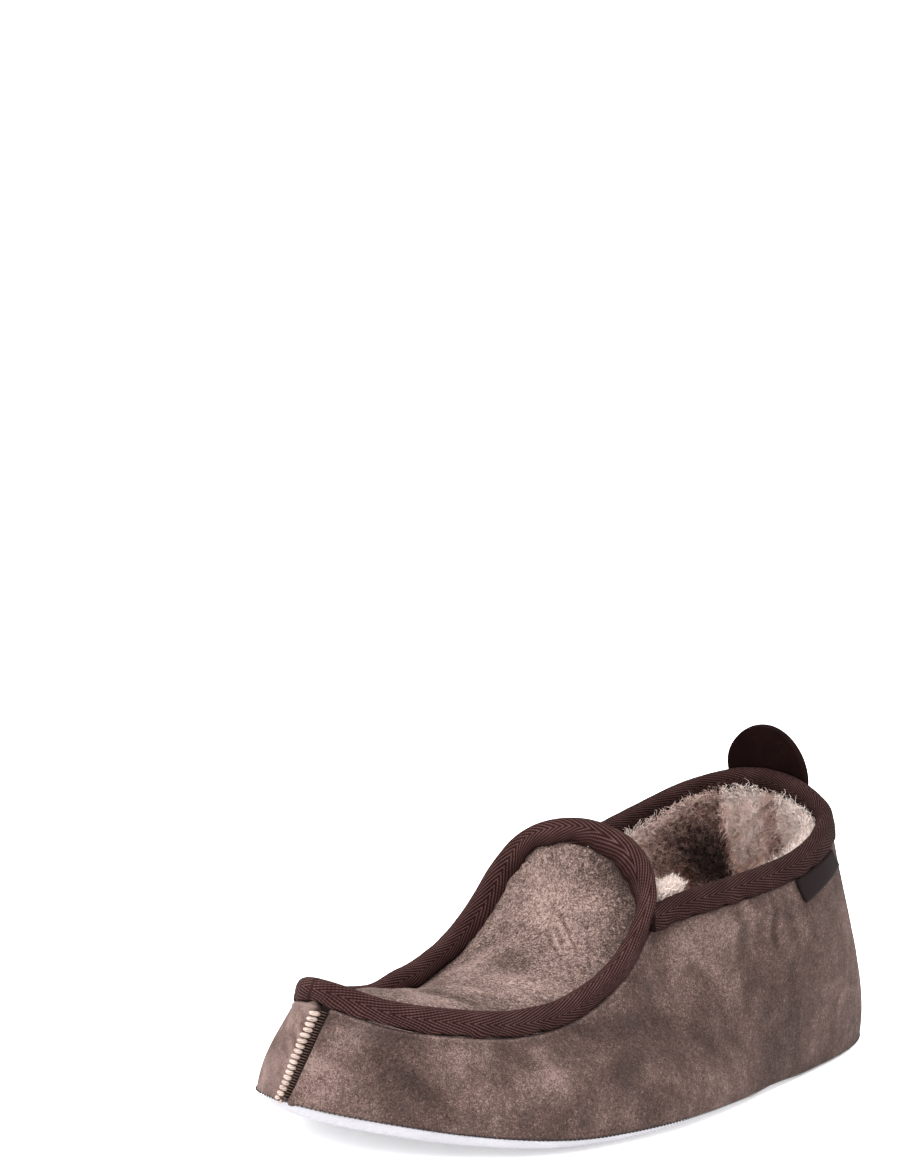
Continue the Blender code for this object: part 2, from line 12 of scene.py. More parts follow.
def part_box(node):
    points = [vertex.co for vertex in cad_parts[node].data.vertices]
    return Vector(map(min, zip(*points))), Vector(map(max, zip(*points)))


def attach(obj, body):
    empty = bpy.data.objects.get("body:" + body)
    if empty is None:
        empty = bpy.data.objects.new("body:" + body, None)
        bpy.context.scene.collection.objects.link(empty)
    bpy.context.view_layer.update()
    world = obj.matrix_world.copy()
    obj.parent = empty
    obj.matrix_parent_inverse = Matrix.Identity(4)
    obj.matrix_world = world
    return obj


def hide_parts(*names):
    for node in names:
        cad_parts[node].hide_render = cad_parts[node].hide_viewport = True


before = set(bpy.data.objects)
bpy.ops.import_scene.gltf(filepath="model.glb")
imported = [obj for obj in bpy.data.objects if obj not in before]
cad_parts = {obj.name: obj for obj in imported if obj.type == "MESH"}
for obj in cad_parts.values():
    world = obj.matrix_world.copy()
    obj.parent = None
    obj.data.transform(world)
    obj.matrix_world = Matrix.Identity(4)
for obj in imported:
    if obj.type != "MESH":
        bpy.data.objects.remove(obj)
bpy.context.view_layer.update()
MM = 0.001

# Camera. It stands in front of the outer side, a little above the collar, and looks along the shoe with
# the upper part of the picture left empty, as in the photograph.
EYE = Vector((0.52100614, -0.71094597, 0.24237688))
VIEW_RIGHT = Vector((0.76638075, 0.64104621, 0.04147658))
VIEW_UP = Vector((-0.0835868, 0.03549527, 0.99586813))
VIEW_BACK = Vector((0.63692527, -0.76668105, 0.08078589))
LONG_SIDE_MM = 36
LENS_MM = 77.82

camera_data = bpy.data.cameras.new("camera")
camera_data.sensor_width = LONG_SIDE_MM
camera_data.lens = LENS_MM
camera_data.clip_start = 0.05
camera = bpy.data.objects.new("camera", camera_data)
bpy.context.scene.collection.objects.link(camera)
turn = Matrix((VIEW_RIGHT, VIEW_UP, VIEW_BACK)).transposed()
camera.matrix_world = Matrix.Translation(EYE) @ turn.to_4x4()
bpy.context.scene.camera = camera

# Upper. One wrap of sheepskin with the hide's napped side out, sewn up at the toe. It is drawn round the last
# wet, so it has soft folds, and its colour is blotchy, with painted shade along the seams and in the creases.
SKIN_LEVELS = 3
# A crease: depth and width in millimetres, then the places that it runs through. A ridge is below zero.
WRAP_CREASES = [
    (0.5, 2.2, (44, 22, 68), (47, 26, 60), (48, 25, 52), (50, 20, 44)),
    (0.6, 1.4, (47, 38, 70), (50, 42, 62), (51, 40, 54), (52, 43, 47)),
    (0.5, 3.0, (36, -10, 58), (39, -8, 50), (43, -10, 40)),
    (0.4, 2.4, (50, 44, 66), (51, 50, 58), (52, 52, 49)),
    (0.4, 3.5, (53, 30, 44), (55, 22, 34), (56, 8, 27)),
    (0.4, 4.0, (50, -30, 36), (54, -42, 27), (54, -60, 20)),
    (-0.5, 6.0, (44, -70, 29), (47, -84, 24), (43, -100, 20)),
    (0.35, 3.0, (20, -128, 36), (23, -124, 30), (30, -118, 22)),
    (0.5, 3.0, (-35, -10, 56), (-40, -6, 44), (-44, -8, 32)),
    (0.5, 3.0, (-38, 20, 60), (-41, 24, 50), (-44, 20, 36)),
    (0.4, 4.0, (-50, -50, 24), (-54, -36, 30), (-50, -20, 38)),
    (0.5, 4.0, (-20, 126, 70), (-24, 132, 50), (-22, 136, 32)),
    (0.5, 4.0, (28, 122, 66), (30, 128, 46), (26, 134, 30)),
    (0.8, 1.6, (-9, -135, 42), (-6, -137, 35)),
    (0.4, 1.6, (-13, -135, 38), (-9, -138, 31)),
]
# A pucker where the tape draws the skin in: its place under the tape, and its lean along the shoe.
PUCKERS = [(22, -113, 37, 4), (25, -109, 36, 5), (29, -103, 34, 6), (31, -98, 33, 5), (33, -90, 33, 7),
           (34, -80, 32, 6), (34, -72, 32, 3), (34, -60, 33, 5), (-30, -104, 34, 5), (-35, -92, 32, 6),
           (-37, -80, 32, 5), (-38, -66, 32, 4)]
# A blotch: place, radius and how much lighter or darker the skin is there. The light blotches at the back of
# the heel are a painted highlight along its outline.
WRAP_BLOTCHES = [
    ((2, -136, 24), 11, 0.85), ((6, -131, 37), 7, 0.45), ((20, -124, 26), 10, -0.55),
    ((20, -117, 38), 7, -0.25), ((30, -116, 20), 9, -0.30), ((47, -78, 22), 13, 0.30),
    ((36, -104, 28), 8, 0.12), ((43, 11, 57), 11, 0.52), ((46, -4, 36), 9, 0.15), ((52, -39, 22), 14, -0.30),
    ((44, -29, 31), 12, -0.40), ((58, -14, 18), 8, 0.05), ((50, 91, 30), 13, 0.25), ((50, 14, 35), 7, 0.20),
    ((54, 42, 27), 16, -0.18), ((48, 23, 47), 10, -0.22), ((50, 10, 30), 9, 0.20), ((54, 55, 20), 12, -0.22),
    ((50, 62, 56), 9, 0.15), ((44, 96, 50), 10, 0.45), ((34, 112, 40), 14, 0.45), ((38, -52, 34), 8, -0.12),
    ((46, 30, 56), 12, 0.30), ((50, 0, 26), 12, -0.25), ((26, 120, 60), 12, 0.35),
    ((-50, -60, 24), 18, -0.25), ((-46, 0, 30), 20, 0.25), ((-42, 60, 40), 18, -0.2), ((0, 134, 40), 20, 0.2),
]
SEAM_REACH = 0.006
SEAM_ROLL = 0.0014
# Middle of the toe's open seam, from the sole to the tape, and of the solid's groove that it replaces.
TOE_GAP = ((-13.8, -138.4, 13.0), (-10.7, -138.8, 21.5), (-8.2, -137.5, 29.5), (-5.4, -136.0, 37.5),
           (-3.2, -133.5, 45.5), (-2.0, -131.5, 51.0))
CAST_GAP = ((-10.8, -140.0, 13.0), (-8.4, -136.0, 34.0), (-6.8, -132.0, 52.0))
GAP_DEPTH = 0.0021
GROOVE_FILL = 0.00085
LIP_RISE = 0.0005
LIP_PLACE = 0.0034


class Shade:
    """A node's output that takes part in Python sums, and makes the material's other nodes."""

    def __init__(self, tree, socket):
        self.tree = tree
        self.socket = socket

    def node(self, kind, settings=(), stops=(), out=0, **values):
        """New node of this kind. A ramp's stops are pairs of place and colour."""
        new = self.tree.nodes.new("ShaderNode" + kind)
        for name, value in dict(settings).items():
            setattr(new, name, value)
        if stops:
            ramp = new.color_ramp.elements
            while len(ramp) < len(stops):
                ramp.new(0.5)
            for stop, (place, colour) in zip(ramp, stops):
                stop.position = place
                stop.color = (*colour, 1)
        for name, value in values.items():
            numbered = name[0] == "i" and name[1:].isdigit()
            socket = new.inputs[int(name[1:]) if numbered else name]
            if isinstance(value, Shade):
                self.tree.links.new(value.socket, socket)
            else:
                socket.default_value = value
        return Shade(self.tree, new.outputs[out])

    def sum(self, operation, *others, clamp=False):
        values = {f"i{k}": value for k, value in enumerate((self, *others))}
        return self.node("Math", {"operation": operation, "use_clamp": clamp}, **values)

    def __add__(self, other):
        return self.sum("ADD", other)

    def __sub__(self, other):
        return self.sum("SUBTRACT", other)

    def __mul__(self, other):
        return self.sum("MULTIPLY", other)

    def __rsub__(self, other):
        return self * -1 + other

    __radd__ = __add__
    __rmul__ = __mul__

    def clamped(self):
        return self.sum("ADD", 0.0, clamp=True)

    def ramp(self, *stops):
        return self.node("ValToRGB", stops=stops, i0=self)

    def mixed(self, low, high):
        """Colour between two, by this share."""
        return self.node("Mix", {"data_type": "RGBA"}, out=2, i0=self, i6=low, i7=high)

    def noise(self, scale, detail=2.0, rough=0.5, warp=0.0):
        return self.node("TexNoise", Vector=self, Scale=scale, Detail=detail, Roughness=rough,
                         Distortion=warp)

    def bump(self, strength, distance):
        return self.node("Bump", Height=self, Strength=strength, Distance=distance)


def finish(name, **constants):
    """New material with these values on its shader, its object coordinates and its shader."""
    made = bpy.data.materials.new(name)
    made.use_nodes = True
    tree = made.node_tree
    shader = tree.nodes["Principled BSDF"]
    for key, value in constants.items():
        shader.inputs[key.replace("_", " ")].default_value = value
    place = Shade(tree, None).node("TexCoord", out=3)
    return made, place, shader


def feed(shader, **outputs):
    for key, value in outputs.items():
        value.tree.links.new(value.socket, shader.inputs[key.replace("_", " ")])


def attribute(place, name):
    """A value that the mesh holds at its vertices."""
    return place.node("Attribute", {"attribute_name": name}, out=2)


def nubuck(name, dark, middle, light, pale, nap_size, nap_depth, blotch_depth):
    """Napped hide: soft blotches, a speckle of curled fibres that is fainter where the nap lies flat, and
    painted shade along the seams.
    """
    made, place, shader = finish(name, Roughness=0.95, Specular_IOR_Level=0.12)
    tone = attribute(place, "tone")
    seam_shade = attribute(place, "seam_shade")
    sleek = attribute(place, "sleek")
    cloud = place.noise(52, 4, 0.6, 0.5)
    patch = place.noise(190, 3, 0.65, 0.6)
    fibre = place.noise(nap_size, 3, 0.8, 1.2)
    fleck = place.noise(nap_size * 2.4, 2, 0.7, 0.8)
    stain = place.noise(90, 2, 0.5)
    nap = ((fibre - 0.5) * 1.1 + (fleck - 0.5)) * nap_depth * (1 - sleek * 0.6)
    cloud = (cloud - 0.5) * blotch_depth + (patch - 0.5) * 0.34
    level = (cloud + nap + tone * 0.42 + 0.5).clamped()
    colour = level.ramp((0.0, dark), (0.36, middle), (0.66, light), (1.0, pale))
    grey = ((stain - 0.56) * 5).clamped() * 0.28
    colour = grey.mixed(colour, (0.040, 0.032, 0.033, 1))
    # Painted shade: the skin turns near-black along the seams, where the tapes and the sole meet it and in
    # the toe's open seam.
    colour = (seam_shade * 0.75).clamped().mixed(colour, (0.008, 0.0045, 0.004, 1))
    height = fibre * 0.6 + fleck * 0.4 + patch * 0.4
    feed(shader, Base_Color=colour, Normal=height.bump(0.7, 0.0006))
    return made


SHARP = radians(50)
EDGE_HOLD = 0.9


def cage(node):
    """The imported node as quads, which subdivide smoothly, with its cut edges held firm."""
    bm = bmesh.new()
    bm.from_mesh(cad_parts[node].data)
    bmesh.ops.remove_doubles(bm, verts=bm.verts, dist=1e-6)
    bmesh.ops.join_triangles(bm, faces=bm.faces, angle_face_threshold=SHARP,
                             angle_shape_threshold=radians(80))
    crisp = bm.edges.layers.float.new("crease_edge")
    for edge in bm.edges:
        if edge.calc_face_angle(0) > SHARP:
            edge[crisp] = EDGE_HOLD
    return bm


def piece(name, bm, material, node=None):
    """Object of a mesh on the shoe's body. It takes the named node's place."""
    mesh = bpy.data.meshes.new(name)
    bm.to_mesh(mesh)
    bm.free()
    mesh.materials.append(material)
    mesh.shade_smooth()
    made = bpy.data.objects.new(name, mesh)
    bpy.context.scene.collection.objects.link(made)
    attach(made, "root")
    if node:
        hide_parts(node)
    return made


def rounded(made, levels):
    """Subdivides a piece and keeps the smooth mesh, so that its own vertices can be shaped."""
    smooth = made.modifiers.new("smooth", "SUBSURF")
    smooth.levels = levels
    smooth.render_levels = levels
    depsgraph = bpy.context.evaluated_depsgraph_get()
    mesh = bpy.data.meshes.new_from_object(made.evaluated_get(depsgraph))
    made.modifiers.clear()
    made.data = mesh
    mesh.shade_smooth()
    return made


def points(made):
    """Places and outward directions of a piece's vertices."""
    count = len(made.data.vertices)
    place = np.empty(count * 3)
    made.data.vertices.foreach_get("co", place)
    out = np.empty(count * 3)
    made.data.vertex_normals.foreach_get("vector", out)
    return place.reshape(-1, 3), out.reshape(-1, 3)


def move(made, place):
    made.data.vertices.foreach_set("co", place.ravel())
    made.data.update()


def hold(made, name, values):
    """Keeps a value at each vertex, for the material."""
    layer = made.data.attributes.new(name, "FLOAT", "POINT")
    layer.data.foreach_set("value", np.asarray(values, np.float32))


def distance_to_line(place, line):
    """Distance of each place from a line of points, and the share of the way along it."""
    line = np.asarray(line, float)
    best = np.full(len(place), 1e9)
    share = np.zeros(len(place))
    for k, (a, b) in enumerate(zip(line, line[1:])):
        way = b - a
        t = np.clip((place - a) @ way / (way @ way), 0, 1)
        gap = np.linalg.norm(place - a - t[:, None] * way, axis=1)
        nearer = gap < best
        best[nearer] = gap[nearer]
        share[nearer] = ((k + t) / (len(line) - 1))[nearer]
    return best, share


def crease(place, out, creases):
    """Soft troughs with raised lips, deepest at their middle."""
    depth = np.zeros(len(place))
    for deep, wide, *line in creases:
        gap, share = distance_to_line(place, np.array(line) * MM)
        fade = np.sin(pi * np.clip(share, 0.04, 0.96)) ** 0.7
        x = gap / (wide * MM)
        depth += deep * MM * fade * (np.exp(-x * x) - 0.45 * np.exp(-(x - 1.9) ** 2 * 1.6))
    return place - out * depth[:, None], depth


def blotches(place, spots):
    tone = np.zeros(len(place))
    for centre, radius, amount in spots:
        gap = np.linalg.norm(place - np.array(centre) * MM, axis=1) / (radius * MM)
        tone += amount * np.exp(-gap * gap)
    return tone


def tree_of(node):
    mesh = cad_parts[node].data
    return BVHTree.FromPolygons([v.co for v in mesh.vertices], [tuple(p.vertices) for p in mesh.polygons])


def nearness(place, tree, reach):
    """Distance of each place from a solid, no more than the reach."""
    found = [tree.find_nearest(Vector(p), reach) for p in place]
    return np.array([hit[3] if hit[0] is not None else reach for hit in found])


apron_tape_tree = tree_of("apron_binding")
collar_tape_tree = tree_of("collar_binding")
sole_tree = tree_of("outsole")

upper = rounded(piece("upper_skin", cage("upper"), nubuck(
    "upper_nubuck", (0.019, 0.0115, 0.0100), (0.047, 0.0290, 0.0250), (0.090, 0.056, 0.048),
    (0.215, 0.150, 0.134), 1050, 1.45, 1.00), "upper"), SKIN_LEVELS)
place, out = points(upper)
place, creased = crease(place, out, WRAP_CREASES)
folds = [(0.45, 1.3, (x, y, z), (x * 1.06, y + lean * 0.5, z - 4), (x * 1.1, y + lean, z - 9))
         for x, y, z, lean in PUCKERS]
place, puckered = crease(place, out, folds)
apron_gap = nearness(place, apron_tape_tree, SEAM_REACH)
collar_gap = nearness(place, collar_tape_tree, SEAM_REACH)
sole_gap = nearness(place, sole_tree, SEAM_REACH)
roll = np.exp(-((apron_gap - SEAM_ROLL) / 0.0006) ** 2) * 0.0004
front = out[:, 1] < -0.2
cast, _ = distance_to_line(place, np.array(CAST_GAP) * MM)
filled = GROOVE_FILL * np.clip(1 - cast / 0.0030, 0, 1) * front
gap, _ = distance_to_line(place, np.array(TOE_GAP) * MM)
across = place[:, 0] - np.interp(place[:, 2], np.array(TOE_GAP)[:, 2] * MM, np.array(TOE_GAP)[:, 0] * MM)
gap_half = np.interp(place[:, 2], (0.013, 0.034), (0.0014, 0.0021))
below_tape = np.clip((0.0485 - place[:, 2]) / 0.004, 0, 1)
opened = -GAP_DEPTH * np.exp(-(gap / gap_half) ** 4) * front * below_tape
lip = LIP_RISE * np.exp(-((np.abs(across) - LIP_PLACE) / 0.0012) ** 2) * front * (gap < 0.008)
move(upper, place + out * (roll + filled + opened + lip)[:, None])
# Painted shade in lines along the feet of both tapes and the sole, and down the toe's open seam.
hold(upper, "seam_shade", 0.9 * np.exp(-(apron_gap / 0.0009) ** 2) + 0.7 * np.exp(-(collar_gap / 0.0009) ** 2)
     + 0.25 * np.exp(-(apron_gap / 0.004) ** 2) + 0.2 * np.exp(-(collar_gap / 0.004) ** 2)
     + 0.55 * np.exp(-(sole_gap / 0.0008) ** 2) + 1.3 * np.exp(-(gap / gap_half) ** 4) * front)
toe_piece = np.clip(-across / 0.001 - 2, 0, 1) * np.clip((-place[:, 1] - 0.108) / 0.01, 0, 1)
hold(upper, "sleek", toe_piece)
# Painted light in the tone: darker in the troughs of creases and puckers and lighter on their lips, a lighter
# toe piece as a painted sheen, and a painted highlight on the raised roll beside the apron's tape.
hold(upper, "tone", blotches(place, WRAP_BLOTCHES) + 0.60 * toe_piece - (creased + puckered) / 0.0011
     + 0.5 * np.exp(-((apron_gap - SEAM_ROLL) / 0.0005) ** 2))

# Apron. The skin on top of the foot, cut with a tall lobe and sewn in under its tape. It creases across
# the lobe where the foot goes in.
APRON_CREASES = [
    (0.75, 0.75, (-15, -15, 62), (-9, -18, 60), (-3, -22, 57), (4, -26, 52), (8, -28, 50), (12, -31, 48)),
    (0.70, 0.70, (-9, -13, 65), (-4, -15, 62), (2, -18, 59), (8, -21, 55), (12, -24, 52), (16, -26, 50)),
    (0.55, 0.65, (-6, -17, 61), (0, -20, 58), (6, -24, 54), (10, -27, 51)),
    (0.40, 0.60, (1, -15, 62), (7, -19, 57), (13, -22, 53)),
    (0.70, 0.70, (18, -23, 51), (19, -25, 49), (22, -28, 47)),
    (0.45, 0.65, (21, -22, 51), (24, -26, 48), (27, -30, 45)),
    (0.35, 0.80, (-17, -13, 64), (-14, -12, 66), (-12, -10, 69)),
    (0.35, 0.70, (14, -30, 48), (19, -34, 45), (23, -38, 43)),
    (-0.6, 7.0, (-24, -40, 46), (-8, -52, 44), (14, -54, 41)),
    (0.5, 5.0, (-20, -70, 40), (-4, -76, 42), (14, -72, 40)),
    (-0.35, 2.2, (-20, -62, 41), (-6, -63, 43), (8, -61, 42)),
    (0.4, 4.0, (-22, -24, 52), (-26, -34, 46), (-28, -46, 42)),
]
APRON_BLOTCHES = [
    ((16, -7, 82), 8, -0.80), ((23, -9, 75), 9, -0.95), ((27, -12, 64), 8, -0.80), ((28, -22, 54), 9, -0.45),
    ((-16, -10, 73), 12, 0.35), ((-6, -16, 64), 12, 0.30), ((4, -22, 56), 12, 0.20),
    ((-22, -24, 54), 8, -0.1), ((-12, -8, 82), 7, -0.20), ((-21, -65, 40), 9, 0.45),
    ((-3, -67, 42), 9, 0.25), ((-2, -56, 43), 8, -0.35),
    ((12, -44, 44), 9, 0.30), ((24, -48, 38), 9, 0.05), ((4, -92, 44), 12, 0.3), ((-20, -88, 42), 9, 0.2),
]
SWELL_RISE = 0.0018
apron = rounded(piece("apron_skin", cage("apron"), nubuck(
    "apron_nubuck", (0.026, 0.0165, 0.0145), (0.078, 0.0510, 0.0440), (0.156, 0.104, 0.090),
    (0.290, 0.212, 0.188), 720, 2.1, 0.80), "apron"), SKIN_LEVELS)
place, out = points(apron)
place, creased = crease(place, out, APRON_CREASES)
apron_gap = nearness(place, apron_tape_tree, 0.008)


def noise_at(place, scale, shift=0.0):
    """Smooth random value at each place, with this many lumps a metre."""
    return np.array([value_noise(Vector(p) * scale + Vector((shift, 0, 0))) for p in place])


def soft_step(low, high, x):
    t = np.clip((x - low) / (high - low), 0, 1)
    return t * t * (3 - 2 * t)


def toe_swell(place):
    """Where the skin swells over its tape: on the inner side, behind the toe."""
    x, y = place[:, 0], place[:, 1]
    behind_toe = soft_step(-0.116, -0.098, y) * (1 - soft_step(-0.080, -0.062, y))
    return behind_toe * (1 - soft_step(-0.016, -0.004, x))


wave = noise_at(place, 420)
swell = toe_swell(place)
pucker = 0.0004 * wave * np.exp(-(apron_gap / 0.0022) ** 2)
move(apron, place + out * pucker[:, None] + swell[:, None] * np.array([0, 0, SWELL_RISE]))
edge = apron_gap / (0.0010 + 0.0006 * wave)
# Painted shade: a dark, uneven line along the tape's foot and a wider darkening beside it, left off where the
# skin swells over the tape.
hold(apron, "seam_shade", (0.9 * np.exp(-edge ** 2) + 0.25 * np.exp(-(apron_gap / 0.003) ** 2)) * (1 - swell))
# The tone is painted darker in the creases' troughs and lighter on their lips and ridges, as painted shade
# and highlight.
hold(apron, "tone", blotches(place, APRON_BLOTCHES) - creased / 0.0008)
hold(apron, "sleek", np.zeros(len(place)))

# Tapes. A plum-brown herringbone cotton tape is folded in half over each raw edge and stitched down, once
# round the apron and once round the collar. Its ends meet in small folds.
SHOE_LENGTH = 0.280
BALL_WIDTH = 0.1188
APRON_WIDTH = 0.0715
COLLAR_WIDTH = 0.0805
TOE_HEIGHT = 0.0540
VAMP_HEIGHT = 0.0428
INSTEP_HEIGHT = 0.0920
HEEL_HEIGHT = 0.1018
JOIN_HEIGHT = 0.0697
APRON_START = 0.0110
APRON_END = 0.1385
COLLAR_END = 0.2385
APRON_JOIN = 0.763
APRON_TAPE = (0.0062, 0.0076)
APRON_TAPE_SEED = 11
COLLAR_TAPE = (0.0068, 0.0086)
COLLAR_TAPE_SEED = 23
TAPE_STEP = 0.0009
# Half of the folded tape's section, from its foot to its ridge: shares of the width and of the height.
TAPE_SECTION = ((0.40, -1.0), (0.50, -0.97), (0.52, -0.84), (0.50, -0.62), (0.49, -0.42), (0.46, -0.27),
                (0.40, -0.15), (0.30, -0.065), (0.16, -0.015), (0.0, 0.0))
TWILL_COLUMN = 0.0052
TWILL_SPACING = 0.00086
TWILL_SLANT = radians(-17)
YARN_SPACING = 0.0011
SELVEDGE = 0.0094
RIDGE_POINTS = 900
RIPPLES = 7
SWELL_DROP = 0.0032
COLLAR_START_DROP = 0.0020


class Table:
    """Rows under named columns. The first column is the place, and a smooth curve joins the rows."""

    def __init__(self, names, *rows):
        self.names = names.split()
        self.rows = np.array(rows, float)

    def __call__(self, name, at):
        places = self.rows[:, 0]
        values = self.rows[:, self.names.index(name)]
        at = np.clip(np.asarray(at, float), places[0], places[-1])
        step = np.diff(places)
        slope = np.diff(values) / step
        near, far = slope[:-1], slope[1:]
        same = near * far > 0
        w1 = 2 * step[1:] + step[:-1]
        w2 = step[1:] + 2 * step[:-1]
        tangent = np.r_[slope[0], np.zeros(len(near)), slope[-1]]
        tangent[1:-1][same] = (w1 + w2)[same] / (w1[same] / near[same] + w2[same] / far[same])
        k = np.clip(np.searchsorted(places, at, side="right") - 1, 0, len(step) - 1)
        h = step[k]
        t = (at - places[k]) / h
        return (values[k] * (1 + 2 * t) * (1 - t) ** 2 + tangent[k] * h * t * (1 - t) ** 2
                + values[k + 1] * t * t * (3 - 2 * t) + tangent[k + 1] * h * t * t * (t - 1))


# Shift of the shoe's centre line to the outer side, of the ball width.
CENTRE = Table("along drift",
               (0.00, -0.091), (0.10, -0.042), (0.25, 0.000), (0.45, -0.018), (0.57, 0.025),
               (0.70, 0.065), (0.87, 0.047), (1.00, 0.008))
# The apron's centre line: reach in plan, and its rise at the toe and up the lobe.
APRON_LINE = Table("way forward toe lobe",
                   (0.000, 0.000, 1.00, 0.000), (0.077, 0.083, 0.56, 0.000), (0.197, 0.223, 0.27, 0.000),
                   (0.347, 0.402, 0.02, 0.000), (0.432, 0.503, 0.00, 0.000), (0.592, 0.689, 0.00, 0.090),
                   (0.670, 0.775, 0.00, 0.189), (0.751, 0.852, 0.00, 0.336), (0.830, 0.914, 0.00, 0.525),
                   (0.906, 0.961, 0.00, 0.727), (0.967, 0.991, 0.00, 0.900), (1.000, 1.000, 0.00, 1.000))
# The apron's tape, from the toe to the lobe's top: half-width of its ridge, and its lean outwards.
APRON = Table("turn half lean",
              (0.00, 0.000, 10), (0.12, 0.315, 10), (0.18, 0.520, 9), (0.235, 0.675, 8), (0.29, 0.800, 8),
              (0.35, 0.865, 8), (0.45, 0.905, 10), (0.55, 0.965, 14), (0.65, 1.000, 22), (0.73, 0.985, 34),
              (0.80, 0.890, 66), (0.88, 0.630, 98), (1.00, 0.000, 112))
# The collar's tape, from the apron's side to the heel's back: half-width, climb and lean inwards.
COLLAR = Table("turn half rise lean",
               (0.00, 0.840, 0.000, 4), (0.125, 0.925, 0.112, 4), (0.25, 0.980, 0.227, 5),
               (0.40, 1.000, 0.365, 6), (0.50, 0.980, 0.461, 7), (0.625, 0.905, 0.590, 9),
               (0.75, 0.765, 0.735, 12), (0.875, 0.470, 0.895, 14), (0.94, 0.245, 0.970, 15),
               (1.00, 0.000, 1.000, 16))


def stack(x, y, z):
    return np.stack(np.broadcast_arrays(np.asarray(x, float), y, z), axis=-1)


def unit(v):
    return v / np.linalg.norm(v, axis=-1, keepdims=True)


def apron_ridge(turn, side):
    way = (1 - np.cos(pi * turn)) / 2
    reach = APRON_START + (APRON_END - APRON_START) * APRON_LINE("forward", way)
    z = (VAMP_HEIGHT + APRON_LINE("toe", way) * (TOE_HEIGHT - VAMP_HEIGHT)
         + APRON_LINE("lobe", way) * (INSTEP_HEIGHT - VAMP_HEIGHT))
    x = BALL_WIDTH * CENTRE("drift", reach / SHOE_LENGTH) + side * APRON_WIDTH / 2 * APRON("half", turn)
    return stack(x, reach - SHOE_LENGTH / 2, z)


def collar_ridge(turn, side):
    start = apron_ridge(np.array(APRON_JOIN), side)[1] + SHOE_LENGTH / 2
    reach = start + (COLLAR_END - start) * np.sin(pi * turn / 2)
    x = BALL_WIDTH * CENTRE("drift", reach / SHOE_LENGTH) + side * COLLAR_WIDTH / 2 * COLLAR("half", turn)
    z = JOIN_HEIGHT + (HEEL_HEIGHT - JOIN_HEIGHT) * COLLAR("rise", turn)
    return stack(x, reach - SHOE_LENGTH / 2, z)


def apron_frame(turn, side):
    """Ridge of the apron's tape, the direction of its ridge and the one across it, at these turns."""
    step = 0.004
    low, high = np.clip(turn - step, 0.01, 0.98), np.clip(turn + step, 0.02, 0.99)
    way = apron_ridge(high, 0) - apron_ridge(low, 0)
    face = unit(stack(0 * way[..., 0], -way[..., 2], way[..., 1]))
    tangent = apron_ridge(np.minimum(turn + step, 1), side) - apron_ridge(np.maximum(turn - step, 0), side)
    ends = (turn[..., None] < step) | (turn[..., None] > 1 - step)
    tangent[..., 1:] = np.where(ends, 0, tangent[..., 1:])
    out = unit(np.cross(unit(tangent), face)) * side
    lean = np.radians(APRON("lean", turn))[..., None]
    rise = np.cos(lean) * face + np.sin(lean) * out
    return apron_ridge(turn, side), rise, np.cos(lean) * out - np.sin(lean) * face


def collar_frame(turn, side):
    step = 0.004
    tangent = collar_ridge(np.minimum(turn + step, 1), side) - collar_ridge(np.maximum(turn - step, 0), side)
    tangent[..., 1:] = np.where(turn[..., None] > 1 - step, 0, tangent[..., 1:])
    out = unit(np.cross(unit(tangent), [0, 0, 1])) * side
    lean = np.radians(COLLAR("lean", turn))[..., None]
    rise = unit(np.cos(lean) * np.array([0, 0, 1]) - np.sin(lean) * out)
    return collar_ridge(turn, side), rise, unit(np.cross(unit(tangent), rise)) * side


def whole_way(frame_of):
    """The frames of both sides of a tape as one run, at even steps: out on +X, round the end, back on -X."""
    turns = np.linspace(0, 1, RIDGE_POINTS)
    outer = [v[:-1] for v in frame_of(turns, 1)]
    inner = [v[::-1] for v in frame_of(turns, -1)]
    run = [np.vstack(pair) for pair in zip(outer, inner)]
    along = np.r_[0, np.cumsum(np.linalg.norm(np.diff(run[0], axis=0), axis=1))]
    even = np.linspace(0, along[-1], int(along[-1] / TAPE_STEP))
    run = [np.stack([np.interp(even, along, v[:, k]) for k in range(3)], axis=-1) for v in run]
    return even, run[0], unit(run[1]), unit(run[2])


def ripple(along, seed):
    """Small uneven wave along a tape, between -1 and 1."""
    dice = np.random.default_rng(seed)
    total = np.zeros(len(along))
    for k in range(RIPPLES):
        total += np.sin(along * dice.uniform(150, 900) + dice.uniform(0, 2 * pi)) / RIPPLES ** 0.5
    return total


